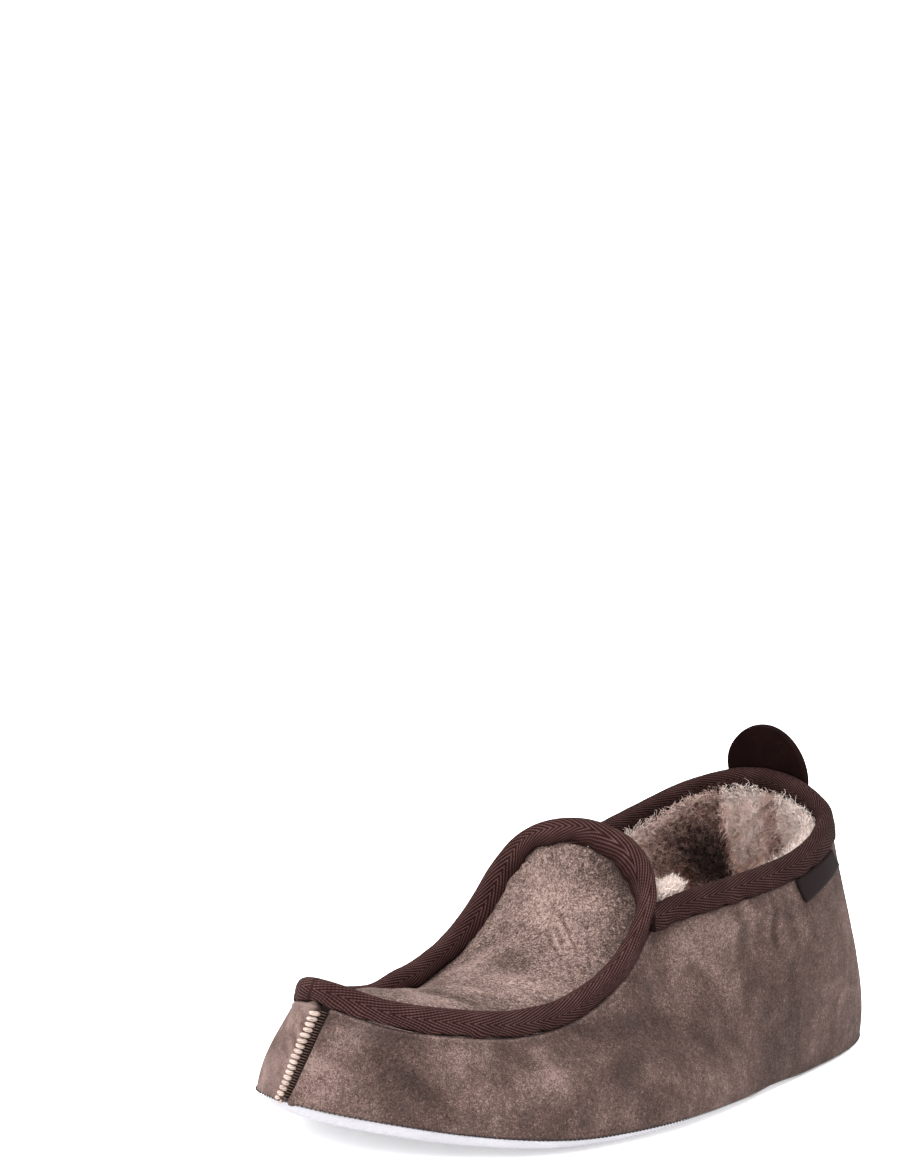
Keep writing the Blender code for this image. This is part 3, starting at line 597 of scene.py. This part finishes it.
def swept_tape(run, size, closed, seed, folds=(), inner_leg=None, inner_width=None, slant=TWILL_SLANT):
    """Folded tape along a run, with its weave's coordinates: along it, and across it from the ridge."""
    along, ridge, rise, across = run
    width, height = size
    rings = len(along) - closed
    inner_leg = np.ones(rings) if inner_leg is None else inner_leg
    inner_width = np.ones(rings) if inner_width is None else inner_width
    section = [(w, h, 1) for w, h in TAPE_SECTION] + [(-w, h, -1) for w, h in TAPE_SECTION[-2::-1]]
    profile = np.array([(w, h) for w, h, _ in section]) * [width, height]
    steps = np.r_[0, np.cumsum(np.linalg.norm(np.diff(profile, axis=0), axis=1))]
    middle = steps[len(TAPE_SECTION) - 1]
    swell = 1 + 0.035 * ripple(along, seed)
    frayed = 0.05 * ripple(along, seed + 1) * height
    for where, wide, amount in folds:
        swell += amount * np.exp(-((along - where) / wide) ** 2)
    drift = np.cumsum(np.sin(slant * np.ones(len(along)))) * TAPE_STEP
    bm = bmesh.new()
    length_layer = bm.verts.layers.float.new("along")
    width_layer = bm.verts.layers.float.new("across")
    drift_layer = bm.verts.layers.float.new("drift")
    upright = Matrix.Translation((3, 0, 0)) @ Matrix.Rotation(pi / 2, 4, "X")
    bmesh.ops.create_circle(bm, segments=len(section), radius=1, matrix=upright)
    turns = rings if closed else rings - 1
    bmesh.ops.spin(bm, geom=[*bm.verts, *bm.edges], cent=(0, 0, 0), axis=(0, 0, 1), steps=turns,
                   angle=2 * pi * turns / rings, use_merge=closed)
    if not closed:
        bmesh.ops.holes_fill(bm, edges=[edge for edge in bm.edges if edge.is_boundary])
    for vert in bm.verts:
        x, y, z = vert.co
        k = round(atan2(y, x) / (2 * pi) * rings) % rings
        i = round(atan2(z, hypot(x, y) - 3) / (2 * pi) * len(section)) % len(section)
        w, h = profile[i]
        share, hand = section[i][1:]
        low = share < -0.8
        if hand < 0:
            w = w * inner_width[k]
            h = h * (1 + (inner_leg[k] - 1) * min(1, -share * 1.5))
        vert.co = ridge[k] + across[k] * w * swell[k] + rise[k] * (h + frayed[k] * low)
        vert[length_layer] = along[k]
        vert[drift_layer] = drift[k]
        vert[width_layer] = steps[i] - middle
    bmesh.ops.recalc_face_normals(bm, faces=bm.faces)
    return bm


def herringbone(name, light):
    """Twill lines that lean one way and then the other in columns along the tape."""
    made, place, shader = finish(name, Roughness=0.92, Specular_IOR_Level=0.05)
    along = attribute(place, "along")
    across = attribute(place, "across")
    zigzag = (across + TWILL_COLUMN * 4).sum("PINGPONG", TWILL_COLUMN)
    selvedge = ((across.sum("ABSOLUTE") - SELVEDGE) * 2500).clamped()
    # Painted shade: the lower part of the tape's inner leg is darkened.
    inner_leg_shade = ((across - 0.0060) * 280).clamped()
    phase = (zigzag * cos(TWILL_SLANT) - attribute(place, "drift")) * (2 * pi / TWILL_SPACING)
    wobble = place.noise(500, 2, 0.5)
    line = (phase + wobble * 1.6).sum("SINE") * 0.5 + 0.5
    line = line * (1 - selvedge * 0.7) + selvedge * 0.3
    yarn = (zigzag * sin(TWILL_SLANT) + along * cos(TWILL_SLANT)) * (2 * pi / YARN_SPACING)
    yarn = yarn.sum("SINE") * 0.5 + 0.5
    cloud = place.noise(110, 3, 0.6)
    lint = place.noise(2600, 2, 0.6)
    level = line * 0.76 + yarn * 0.20 + (cloud - 0.5) * 0.50 + (lint - 0.5) * 0.35 + 0.02
    level = (level * (1 - inner_leg_shade * 0.65)).clamped()
    colours = np.array([(0.014, 0.0048, 0.0044), (0.036, 0.0136, 0.0124), (0.085, 0.0395, 0.0368),
                        (0.160, 0.0870, 0.0810)]) * light
    colour = level.ramp(*zip((0.0, 0.35, 0.75, 1.0), colours))
    height = line * 0.8 + yarn * 0.2
    feed(shader, Base_Color=colour, Normal=height.bump(0.7, 0.0005))
    return made


apron_run = whole_way(apron_frame)
apron_run[1][:, 2] -= SWELL_DROP * toe_swell(apron_run[1])
APRON_TAPE_FOLDS = [(0.004, 0.0012, 0.10), (apron_run[0][-1] - 0.005, 0.0014, 0.12), (0.165, 0.0012, 0.12),
                    (0.271, 0.0016, 0.16), (0.295, 0.002, 0.10)]
on_inner_side = np.clip((5.0 - apron_run[1][:, 0] / MM) / 10, 0, 1)
up_lobe = np.clip((apron_run[1][:, 2] / MM - 46) / 14, 0, 1)
inner_leg = 1 + 0.35 * up_lobe
inner_width = 1 - 0.16 * on_inner_side * up_lobe
on_outer_side = np.clip(apron_run[1][:, 0] / MM / 8, 0, 1)
slant = TWILL_SLANT * (1 - 0.65 * up_lobe * on_outer_side)
piece("apron_tape", swept_tape(apron_run, APRON_TAPE, True, APRON_TAPE_SEED, APRON_TAPE_FOLDS, inner_leg,
                               inner_width, slant),
      herringbone("plum_herringbone", 0.56), "apron_binding")
collar_run = whole_way(collar_frame)
collar_run[1][:, 2] -= COLLAR_START_DROP * np.exp(-(collar_run[0] / 0.010) ** 2)
# The collar's copy of the same tape is painted darker than the apron's, as painted shade.
piece("collar_tape", swept_tape(collar_run, COLLAR_TAPE, False, COLLAR_TAPE_SEED),
      herringbone("collar_herringbone_shaded", 0.38), "collar_binding")

# Lining. The skin's own wool, clipped to a dense curly pile on the inside of the wrap, the apron and the bed.
# It is cream to dark brown by place, and its hairs stand out under the tape's inner edge.
PILE = 0.0052
PILE_LUMP = 0.0012
PILE_HAIR = (0.0024, 0.0052)
PILE_LEAN = 0.8
PILE_BACK = 0.0012
WALL_STRANDS = 18500
LOBE_STRANDS = 3600
PIECE_STRANDS = 11000
LOCK_STRANDS = 9
LOCK_REACH = 0.004
LINING_SEED = 41
WALL_CLOUD = 3.0
STRAND_LEVELS = (0.0, 0.4, 0.75)
# Dye of the pile at the back of the heel, from the inner side to the outer one: place across, then shade.
HEEL_DYE = ((-45, 1.05), (-36, 1.00), (-30, 0.82), (-24, 0.60), (-12.5, 0.38), (-10, 0.94), (4, 0.98),
            (7, 0.52), (12, 0.50), (14, 1.05), (24, 1.10), (45, 1.05))


def wool(name):
    """Curled wool in the dye that the mesh holds, with painted shade: darker at the roots and light at the
    tips.
    """
    made, place, shader = finish(name, Roughness=0.8, Specular_IOR_Level=0.2, Sheen_Weight=0.15,
                                 Sheen_Roughness=0.5, Sheen_Tint=(1, 0.88, 0.83, 1))
    dye = attribute(place, "dye")
    tip = attribute(place, "tip")
    lock = place.noise(520, 3, 0.65, 0.5)
    hair = place.noise(1700, 3, 0.75, 1.0)
    # The tip term paints shade down among the hairs: roots darker, tips lighter.
    level = (dye + (lock - 0.5) * 0.75 + (hair - 0.5) * 0.85 + tip * 0.20 - 0.04).clamped()
    colour = level.ramp((0.0, (0.011, 0.006, 0.005)), (0.22, (0.056, 0.032, 0.027)),
                        (0.45, (0.345, 0.208, 0.172)), (0.70, (0.800, 0.560, 0.485)),
                        (1.0, (1.000, 0.840, 0.765)))
    feed(shader, Base_Color=colour, Normal=(hair + lock).bump(0.8, 0.0008))
    return made


def dye_at(place, seed):
    """Shade of the pile at these places, from brown at 0 to cream at 1. Only the heel's wall is patched."""
    x, y, z = place.T / MM
    across, shade = zip(*HEEL_DYE)
    dye = np.interp(x - (z - 55) * 0.06, across, shade)
    patch = 1.45 * np.exp(-((x + 22) / 11.5) ** 2 - ((z - 63) / 15) ** 2) + 0.6 * np.exp(
        -(x / 8) ** 2 - ((z - 57) / 11) ** 2)
    heel = np.clip((y - 55) / 25, 0, 1) * np.clip((z - 30) / 14, 0, 1)
    cloud = noise_at(place, 70, seed)
    plain = 0.82 + 0.22 * cloud
    return np.clip(heel * (dye - 0.30 * patch + 0.14 * cloud) + (1 - heel) * plain, 0, 1)


def pile_surface(name, node, inward, keep, push=lambda out: out):
    """The inner faces of a solid, raised by the pile and full of soft lumps."""
    bm = cage(node)
    away = [f for f in bm.faces if not inward(f)]
    bmesh.ops.delete(bm, geom=away, context="FACES")
    bm.normal_update()
    made = rounded(piece(name, bm, wool_finish), 2)
    place, out = points(made)
    rise = np.minimum(nearness(place, apron_tape_tree, 0.008), nearness(place, collar_tape_tree, 0.008))
    rise = np.clip((rise - 0.0002) / np.interp(place[:, 2], (0.052, 0.066), (0.0045, 0.0016)), 0, 1)
    rise = rise * rise * (3 - 2 * rise)
    lump = noise_at(place, 210) + 0.6 * noise_at(place, 430)
    sunk = 0.0010 * (1 - rise) * np.clip((place[:, 1] + 0.10) / 0.03, 0, 1)
    place = place + push(out) * (keep(place) * rise * (PILE + PILE_LUMP * lump) - sunk)[:, None]
    place[:, 1] += 0.0026 * np.clip((-0.116 - place[:, 1]) / 0.008, 0, 1)
    move(made, place)
    return made


def scatter(made, count, dice, weight):
    """Random places on a surface with their outward directions, thicker where the weight is greater."""
    mesh = made.data
    mesh.calc_loop_triangles()
    corners = np.array([t.vertices for t in mesh.loop_triangles])
    place, out = points(made)
    a, b, c = (place[corners[:, k]] for k in range(3))
    area = np.linalg.norm(np.cross(b - a, c - a), axis=1) * np.maximum(weight((a + b + c) / 3), 0)
    pick = dice.choice(len(area), count, p=area / area.sum())
    u, v = dice.random((2, count, 1))
    fold = (u + v) > 1
    u, v = np.where(fold, 1 - u, u), np.where(fold, 1 - v, v)
    at = a[pick] + u * (b - a)[pick] + v * (c - a)[pick]
    way = unit((out[corners[pick]]).mean(axis=1))
    return at, way


def strands(name, root, way, length, thick, dye, dice, gather=0.55, curl=0.0007):
    """Thousands of curled hairs as one mesh. Neighbours lean together into small locks."""
    count = len(root)
    tip = root + way * length[:, None]
    locks = max(count // LOCK_STRANDS, 1)
    chosen = dice.choice(count, locks, replace=False)
    tree = KDTree(locks)
    for k, at in enumerate(root[chosen]):
        tree.insert(Vector(at), k)
    tree.balance()
    found = [tree.find(Vector(at)) for at in root]
    near = chosen[[hit[1] for hit in found]]
    close = np.array([hit[2] < LOCK_REACH for hit in found])
    tip = tip + (tip[near] - tip) * gather * close[:, None]
    axis = unit(tip - root)
    side = unit(np.cross(axis, unit(dice.normal(size=(count, 3)))))
    other = np.cross(axis, side)
    bend = dice.uniform(0.6, 1.4, count)[:, None] * curl
    phase = dice.uniform(0, 2 * pi, count)[:, None]
    turns = dice.uniform(0.7, 1.3, count)[:, None]
    corner = np.arange(3) * 2 * pi / 3
    rings = []
    for share in (*STRAND_LEVELS, 1.0):
        angle = phase + turns * share * 2 * pi
        centre = root + (tip - root) * share
        centre = centre + (side * np.cos(angle) + other * np.sin(angle)) * bend * min(share * 2.5, 1)
        if share == 1:
            rings.append(centre[:, None, :])
            break
        radius = thick[:, None, None] * (1 - 0.65 * share)
        ring = side[:, None, :] * np.cos(corner)[:, None] + other[:, None, :] * np.sin(corner)[:, None]
        rings.append(centre[:, None, :] + ring * radius)
    grid = np.concatenate(rings, axis=1)
    size = grid.shape[1]
    faces = [(2, 1, 0)]
    for row in range(len(STRAND_LEVELS) - 1):
        for k in range(3):
            i, j = row * 3 + k, row * 3 + (k + 1) % 3
            faces += [(i, j, j + 3), (i, j + 3, i + 3)]
    last = (len(STRAND_LEVELS) - 1) * 3
    faces += [(last + k, last + (k + 1) % 3, last + 3) for k in range(3)]
    corners = (np.array(faces)[None] + np.arange(count)[:, None, None] * size).ravel()
    mesh = bpy.data.meshes.new(name)
    mesh.vertices.add(count * size)
    mesh.vertices.foreach_set("co", grid.ravel())
    mesh.loops.add(len(corners))
    mesh.loops.foreach_set("vertex_index", corners)
    mesh.polygons.add(len(corners) // 3)
    mesh.polygons.foreach_set("loop_start", np.arange(0, len(corners), 3))
    mesh.update(calc_edges=True)
    mesh.materials.append(wool_finish)
    mesh.shade_smooth()
    made = bpy.data.objects.new(name, mesh)
    bpy.context.scene.collection.objects.link(made)
    hold(made, "dye", np.repeat(dye, size))
    hold(made, "tip", np.tile([*np.repeat(STRAND_LEVELS, 3), 1.0], count))
    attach(made, "root")
    return made


def pile(name, base, count, dice, weight, lift=0.15):
    """Hairs that stand on a surface, and the surface closed behind, in their dye with painted shade under
    them.
    """
    root, way = scatter(base, count, dice, weight)
    way = unit(way + PILE_LEAN * dice.normal(size=way.shape) * 0.5 + np.array([0, 0, lift]))
    dye = dye_at(root, WALL_CLOUD) + dice.normal(0, 0.07, count)
    length = dice.uniform(*PILE_HAIR, count)
    thick = dice.uniform(0.00011, 0.00019, count)
    for k, part in enumerate(np.array_split(np.arange(count), -(-count // PIECE_STRANDS))):
        strands(f"{name}_{k + 1}", (root - way * 0.0006)[part], way[part], length[part], thick[part],
                dye[part], dice)
    place, _ = points(base)
    # Painted shade: the surface under the hairs is a little darker than their dye, and has none of the tips'
    # light.
    hold(base, "dye", dye_at(place, WALL_CLOUD) - 0.04)
    hold(base, "tip", np.zeros(len(place)))
    back = base.modifiers.new("back", "SOLIDIFY")
    back.thickness = PILE_BACK
    back.offset = -1
    depsgraph = bpy.context.evaluated_depsgraph_get()
    mesh = bpy.data.meshes.new_from_object(base.evaluated_get(depsgraph))
    base.modifiers.clear()
    base.data = mesh
    mesh.shade_smooth()


def to_centre(face):
    """Whether a face of the wrap looks at the foot."""
    at = face.calc_center_median()
    y = min(max(at.y, -0.085), 0.085)
    x = BALL_WIDTH * float(CENTRE("drift", (at.y + SHOE_LENGTH / 2) / SHOE_LENGTH))
    inwards = Vector((x - at.x, y - at.y, 0))
    return face.normal.dot(inwards.normalized()) > 0.3 and abs(face.normal.z) < 0.9


wool_finish = wool("curly_wool")
dice = np.random.default_rng(LINING_SEED)
wall_base = pile_surface("wall_fleece", "upper", to_centre,
                         lambda place: np.clip((place[:, 1] + 0.125) / 0.03, 0.25, 1))
pile("wall_wool", wall_base, WALL_STRANDS, dice,
     lambda at: np.clip((at[:, 2] - 0.030) / 0.03, 0.04, 1) * np.clip((at[:, 1] + 0.03) / 0.03, 0, 1))
lobe_base = pile_surface("lobe_fleece", "apron", lambda f: f.normal.dot(Vector((0, 0.6, -0.8))) > 0.25,
                         lambda place: np.clip((place[:, 1] + 0.12) / 0.03, 0.25, 1),
                         lambda out: unit(out * (0.3, 1, 1) + np.array([0, 0.75, -1.2])))
pile("lobe_wool", lobe_base, LOBE_STRANDS, dice, lambda at: np.clip((at[:, 1] + 0.040) / 0.03, 0, 1),
     lift=-0.1)

# Collar fringe. The lining's longest hairs, which the tape presses up and inwards, so that they stand
# over its inner edge all round the opening.
FRINGE_COUNT = 5200
turn = dice.uniform(0.03, 1, FRINGE_COUNT)
inner_side = dice.random(FRINGE_COUNT) < 0.42
at, rise, across = (np.where(inner_side[:, None], a, b)
                    for a, b in zip(collar_frame(turn, -1), collar_frame(turn, 1)))
near_side = np.where(inner_side, 0.52, np.interp(turn, (0, 0.25, 0.5, 0.75, 1), (0.95, 0.85, 1.0, 0.8, 0.5)))
root = (at - across * dice.uniform(0.0026, 0.0062, FRINGE_COUNT)[:, None]
        - rise * (np.where(inner_side, 0.0070, 0.0088) + dice.uniform(0, 0.0062, FRINGE_COUNT))[:, None])
way = unit(rise - across * dice.uniform(-0.2, 1.0, FRINGE_COUNT)[:, None]
           + dice.normal(size=(FRINGE_COUNT, 3)) * 0.45)
length = near_side * dice.uniform(0.0045, 0.0112, FRINGE_COUNT)
strands("collar_fringe", root, way, length, dice.uniform(0.00012, 0.00020, FRINGE_COUNT),
        np.clip(dye_at(root, WALL_CLOUD) + dice.normal(0.06, 0.07, FRINGE_COUNT), 0, 1), dice, gather=0.22,
        curl=0.0013)

# Front tufts. The pile at the apron's edge, which swells out on both sides where the lobe leaves the
# collar. It is the lining's own wool, left long and pale.
TUFT_SPREAD = (1.3, 4.2, 1.8)
TUFTS = [((30.4, 3.2, 68.4), (-0.12, 0.30, 0.95), 1300), ((-27.0, 3.0, 68.0), (0.10, 0.30, 0.95), 400)]
for k, (centre, lean, count) in enumerate(TUFTS):
    spread = np.clip(dice.normal(size=(count, 3)), -1.3, 1.3) * np.array(TUFT_SPREAD) * MM
    root = np.array(centre) * MM + spread
    way = unit(np.array(lean) + dice.normal(size=(count, 3)) * 0.42)
    strands(f"front_tuft_{k + 1}", root, way, dice.uniform(0.0048, 0.0072, count),
            dice.uniform(0.00014, 0.00022, count), np.clip(dice.normal(0.93, 0.05, count), 0, 1), dice,
            gather=0.4, curl=0.0008)

# Insole. The bed under the foot is a flat piece of the same sheepskin, laid in with its wool up. It is cut
# to the foot's outline.
BED_GRID = 0.0018
BED_STRANDS = 4200
BED_CLOUD = 9.0
bed = piece("bed_fleece", cage("insole"), wool_finish, "insole")
even = bed.modifiers.new("even", "REMESH")
even.mode = "VOXEL"
even.voxel_size = BED_GRID
bed = rounded(bed, 0)
place, out = points(bed)
up = np.clip(out[:, 2], 0, 1)
lump = noise_at(place, 190) + 0.6 * noise_at(place, 420)
move(bed, place + np.array([0, 0, 1]) * (up * PILE_LUMP * lump)[:, None])
place, out = points(bed)
root, way = scatter(bed, BED_STRANDS, dice,
                    lambda at: (at[:, 2] > 0.012) * np.clip((at[:, 1] + 0.05) / 0.05, 0.05, 1))
standing = way[:, 2] > 0.3
root, way = root[standing], way[standing]
count = len(root)
way = unit(way + dice.normal(size=way.shape) * 0.35)
strands("bed_wool", root - way * 0.0006, way, dice.uniform(0.003, 0.006, count),
        dice.uniform(0.00014, 0.00022, count), dye_at(root, BED_CLOUD), dice)
# Painted shade: the bed under its hairs is darker than their dye, and has none of the tips' light.
hold(bed, "dye", dye_at(place, BED_CLOUD) - 0.08)
hold(bed, "tip", np.zeros(len(place)))

# Outsole. A soft pale hide with a short nap, cut to the foot's outline and sewn to the upper's lower edge
# through a row of small holes.
SOLE_LEVELS = 2
sole_finish, place_in_sole, shader = finish("sole_hide", Roughness=0.9, Specular_IOR_Level=0.2)
grain = place_in_sole.noise(1500, 3, 0.7)
soil = place_in_sole.noise(60, 3, 0.6)
fine = place_in_sole.noise(4200, 2, 0.6)
level = ((grain - 0.5) * 0.55 + (fine - 0.5) * 0.5 + (soil - 0.5) * 0.6 + 0.6).clamped()
feed(shader, Base_Color=level.ramp((0.0, (0.23, 0.22, 0.24)), (0.5, (0.37, 0.36, 0.385)),
                                   (1.0, (0.50, 0.49, 0.52))),
     Normal=(grain * 0.7 + fine * 0.3).bump(0.5, 0.0004))
rounded(piece("sole_skin", cage("outsole"), sole_finish, "outsole"), SOLE_LEVELS)

# Sole stitches. Dark waxed thread that dips into small holes along the seam between upper and sole, so
# that only short grains of it show, close together, all round the shoe.
STITCH_STEP = 0.00165
STITCH_SIZE = (0.00042, 0.00030, 0.00034)
SEAM_ANGLE = radians(55)


def sharp_loops(bm):
    """Closed lines of points along the sharp edges of a quad mesh."""
    beside = {}
    for edge in bm.edges:
        if edge.calc_face_angle(0) > SEAM_ANGLE:
            for vert in edge.verts:
                beside.setdefault(vert, []).append(edge.other_vert(vert))
    loops = []
    while beside:
        line = [next(iter(beside))]
        while True:
            ahead = [v for v in beside.pop(line[-1], ()) if v in beside and v is not line[-1]]
            if not ahead:
                break
            line.append(ahead[0])
        loops.append(np.array([v.co for v in line]))
    return loops


def even_steps(line, step):
    """Points at even steps round a closed line."""
    line = np.vstack([line, line[:1]])
    along = np.r_[0, np.cumsum(np.linalg.norm(np.diff(line, axis=0), axis=1))]
    places = np.arange(0, along[-1], step)
    return np.stack([np.interp(places, along, line[:, k]) for k in range(3)], axis=-1)


upper_cage = cage("upper")
loops = sharp_loops(upper_cage)
upper_cage.free()
seam_line = max(loops, key=lambda line: np.ptp(line[:, 0]) * np.ptp(line[:, 1]) / (line[:, 2].mean() + 0.01))
thread_finish, _, _ = finish("dark_thread", Base_Color=(0.012, 0.008, 0.007, 1), Roughness=0.7)
bm = bmesh.new()
seam_points = even_steps(seam_line, STITCH_STEP)
for k, at in enumerate(seam_points):
    ahead = unit(seam_points[(k + 1) % len(seam_points)] - seam_points[k - 1])
    turn = Vector(ahead).to_track_quat("X", "Z").to_matrix().to_4x4()
    bmesh.ops.create_icosphere(bm, subdivisions=1, radius=1, matrix=Matrix.Translation(Vector(at)) @ turn
                               @ Matrix.Diagonal((*STITCH_SIZE, 1)))
piece("sole_stitches", bm, thread_finish)

# Toe seam. The upper's two edges meet at the toe in an open seam, whipped with thick cream thread that
# lies in beads on the inner piece.
SEAM_BEADS = 18
BEAD_REACH = (-0.0031, -0.0018)
THREAD_REACH = (-0.0019, 0.0008)
seam_places = np.array(TOE_GAP[:-1]) * MM
upper_tree = BVHTree.FromPolygons([v.co for v in upper.data.vertices],
                                  [tuple(p.vertices) for p in upper.data.polygons])


def on_toe(x, z):
    """Point of the upper's front at this place across and up, or its nearest point where the edge ends."""
    hit = upper_tree.ray_cast(Vector((x, -0.2, z)), Vector((0, 1, 0)), 0.1)
    if hit[0] is None:
        hit = upper_tree.find_nearest(Vector((x, seam_places[0, 1], z)))
    return hit[0], hit[1]


def over_gap(share, reach, dip, lift):
    """Middle, length and turn of a stitch over the gap, at this share of the way up."""
    z = seam_places[0, 2] + (seam_places[-1, 2] - seam_places[0, 2]) * share
    x = float(np.interp(z, seam_places[:, 2], seam_places[:, 0]))
    left, out = on_toe(x + reach[0], z + 0.0002)
    right, _ = on_toe(x + reach[1], z - dip)
    turn = (right - left).to_track_quat("X", "Z").to_matrix().to_4x4()
    return Matrix.Translation((left + right) / 2 + out * lift) @ turn, (right - left).length


cream, bead_place, shader = finish("cream_thread", Roughness=0.6, Specular_IOR_Level=0.35)
strand = (bead_place.node("SeparateXYZ", out=2, i0=bead_place) * 9000).sum("SINE") * 0.5 + 0.5
wear = bead_place.noise(700, 2, 0.6)
feed(shader, Base_Color=(strand * 0.3 + wear * 0.9 - 0.1).clamped().ramp(
    (0.0, (0.09, 0.05, 0.04)), (0.45, (0.38, 0.285, 0.245)), (1.0, (0.66, 0.55, 0.49))),
    Normal=strand.bump(0.4, 0.0002))
bm = bmesh.new()
for k in range(SEAM_BEADS):
    where, span = over_gap((k + 0.9) / (SEAM_BEADS + 0.6), BEAD_REACH, 0.0005, 0.0001)
    size = Matrix.Diagonal((span * 0.50 + 0.00045, 0.00090, 0.00085, 1))
    bmesh.ops.create_uvsphere(bm, u_segments=14, v_segments=8, radius=1, matrix=where @ size)
piece("toe_stitches", bm, cream)
# The whipping thread where it is drawn across the gap is painted dark brown, as painted shade in the gap.
drawn, _, _ = finish("shaded_drawn_thread", Base_Color=(0.085, 0.052, 0.042, 1), Roughness=0.8,
                     Specular_IOR_Level=0.1)
bm = bmesh.new()
for k in range(2 * SEAM_BEADS):
    where, span = over_gap((k + 1.3) / (2 * SEAM_BEADS + 1.2), THREAD_REACH, 0.0004, -0.0001)
    size = Matrix.Diagonal((span * 0.54, 0.00018, 0.00017, 1))
    bmesh.ops.create_uvsphere(bm, u_segments=8, v_segments=6, radius=1, matrix=where @ size)
piece("drawn_threads", bm, drawn)

# Heel tab. A disc of near-black suede on the outside of the heel, to pull the shoe on by. Its lower part is
# sewn down over the collar's tape, and the rest stands up by itself.
TAB_LEVELS = 3
tab_finish, tab_place, shader = finish("dark_tab_suede", Roughness=0.95, Specular_IOR_Level=0.03)
nap = tab_place.noise(1700, 3, 0.7)
shadow = tab_place.noise(120, 3, 0.6)
level = ((nap - 0.5) * 0.8 + (shadow - 0.5) * 0.9 + 0.45).clamped()
feed(shader, Base_Color=level.ramp((0.0, (0.0030, 0.0011, 0.0010)), (0.6, (0.0090, 0.0036, 0.0032)),
                                   (1.0, (0.024, 0.0105, 0.0090))), Normal=nap.bump(0.4, 0.0003))
rounded(piece("tab_suede", cage("heel_tab"), tab_finish, "heel_tab"), TAB_LEVELS)

# Side label. A short satin ribbon, folded and sewn in under the collar's tape on the outer side. It is
# plain, and its lower rear corner is pulled up by the seam.
LABEL_THREAD = 0.00045
LABEL_PULL = Vector((-0.0012, 0.0025, 0.0045))
LABEL_LEVELS = 2
label_finish, label_place, shader = finish("black_ribbon", Specular_IOR_Level=0.02)
warp, weft = (label_place.node("SeparateXYZ", out=axis, i0=label_place) * (2 * pi / LABEL_THREAD)
              for axis in (2, 1))
thread = warp.sum("SINE") * 0.30 + weft.sum("SINE") * 0.20 + 0.5
feed(shader, Base_Color=thread.ramp((0.0, (0.0060, 0.0036, 0.0036)), (1.0, (0.0150, 0.0090, 0.0090))),
     Roughness=thread * 0.25 + 0.5, Normal=thread.bump(0.5, 0.0001))
label_mesh = cage("side_label")
low, high = (np.array(corner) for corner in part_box("side_label"))
for vert in label_mesh.verts:
    share = (np.array(vert.co) - low) / (high - low)
    vert.co += LABEL_PULL * float(share[1] * (1 - share[2]))
rounded(piece("label_ribbon", label_mesh, label_finish, "side_label"), LABEL_LEVELS)

# Floor and light. A plain pale floor, a soft lamp in front and one behind, and two wide suns from the front
# and from above, so that the shoe has hardly a shadow.
FLOOR_HALF = 30.0
SUN_ANGLE = radians(55)
SKY_STRENGTH = 1.6
bm = bmesh.new()
bmesh.ops.create_grid(bm, x_segments=1, y_segments=1, size=FLOOR_HALF)
floor_mesh = bpy.data.meshes.new("floor")
bm.to_mesh(floor_mesh)
bm.free()
floor = bpy.data.objects.new("floor", floor_mesh)
bpy.context.scene.collection.objects.link(floor)
floor_finish, _, _ = finish("floor_paper", Base_Color=(0.94, 0.94, 0.94, 1), Roughness=0.9,
                           Emission_Color=(1, 1, 1, 1), Emission_Strength=0.35)
floor_mesh.materials.append(floor_finish)


def area_light(name, where, target, size, power):
    data = bpy.data.lights.new(name, "AREA")
    data.shape = "DISK"
    data.size = size
    data.energy = power
    lamp = bpy.data.objects.new(name, data)
    bpy.context.scene.collection.objects.link(lamp)
    aim = (Vector(target) - Vector(where)).to_track_quat("-Z", "Y")
    lamp.matrix_world = Matrix.Translation(Vector(where)) @ aim.to_matrix().to_4x4()


area_light("key", (-0.45, -1.1, 1.0), (0, 0, 0.04), 0.8, 6)
area_light("back", (0.3, 1.0, 1.1), (0, 0, 0.06), 0.9, 3)
for name, energy, towards in (("front_sun", 1.3, (-0.35, -0.65, 0.68)),
                              ("top_sun", 3.2, (0.30, -0.25, 0.92))):
    sun_data = bpy.data.lights.new(name, "SUN")
    sun_data.energy = energy
    sun_data.angle = SUN_ANGLE
    sun = bpy.data.objects.new(name, sun_data)
    bpy.context.scene.collection.objects.link(sun)
    sun.matrix_world = Vector(towards).to_track_quat("Z", "Y").to_matrix().to_4x4()
world = bpy.data.worlds.new("studio")
world.use_nodes = True
sky = Shade(world.node_tree, None)
height = sky.node("SeparateXYZ", out=2, i0=sky.node("TexCoord", out=0))
level = height.ramp((0.0, (1, 1, 1)), (0.16, (1, 1, 1)), (0.45, (0.6, 0.6, 0.6)), (1.0, (0.6, 0.6, 0.6)))
backdrop = world.node_tree.nodes["Background"]
backdrop.inputs["Strength"].default_value = SKY_STRENGTH
world.node_tree.links.new(level.socket, backdrop.inputs["Color"])
bpy.context.scene.world = world
bpy.context.scene.view_settings.view_transform = "Standard"
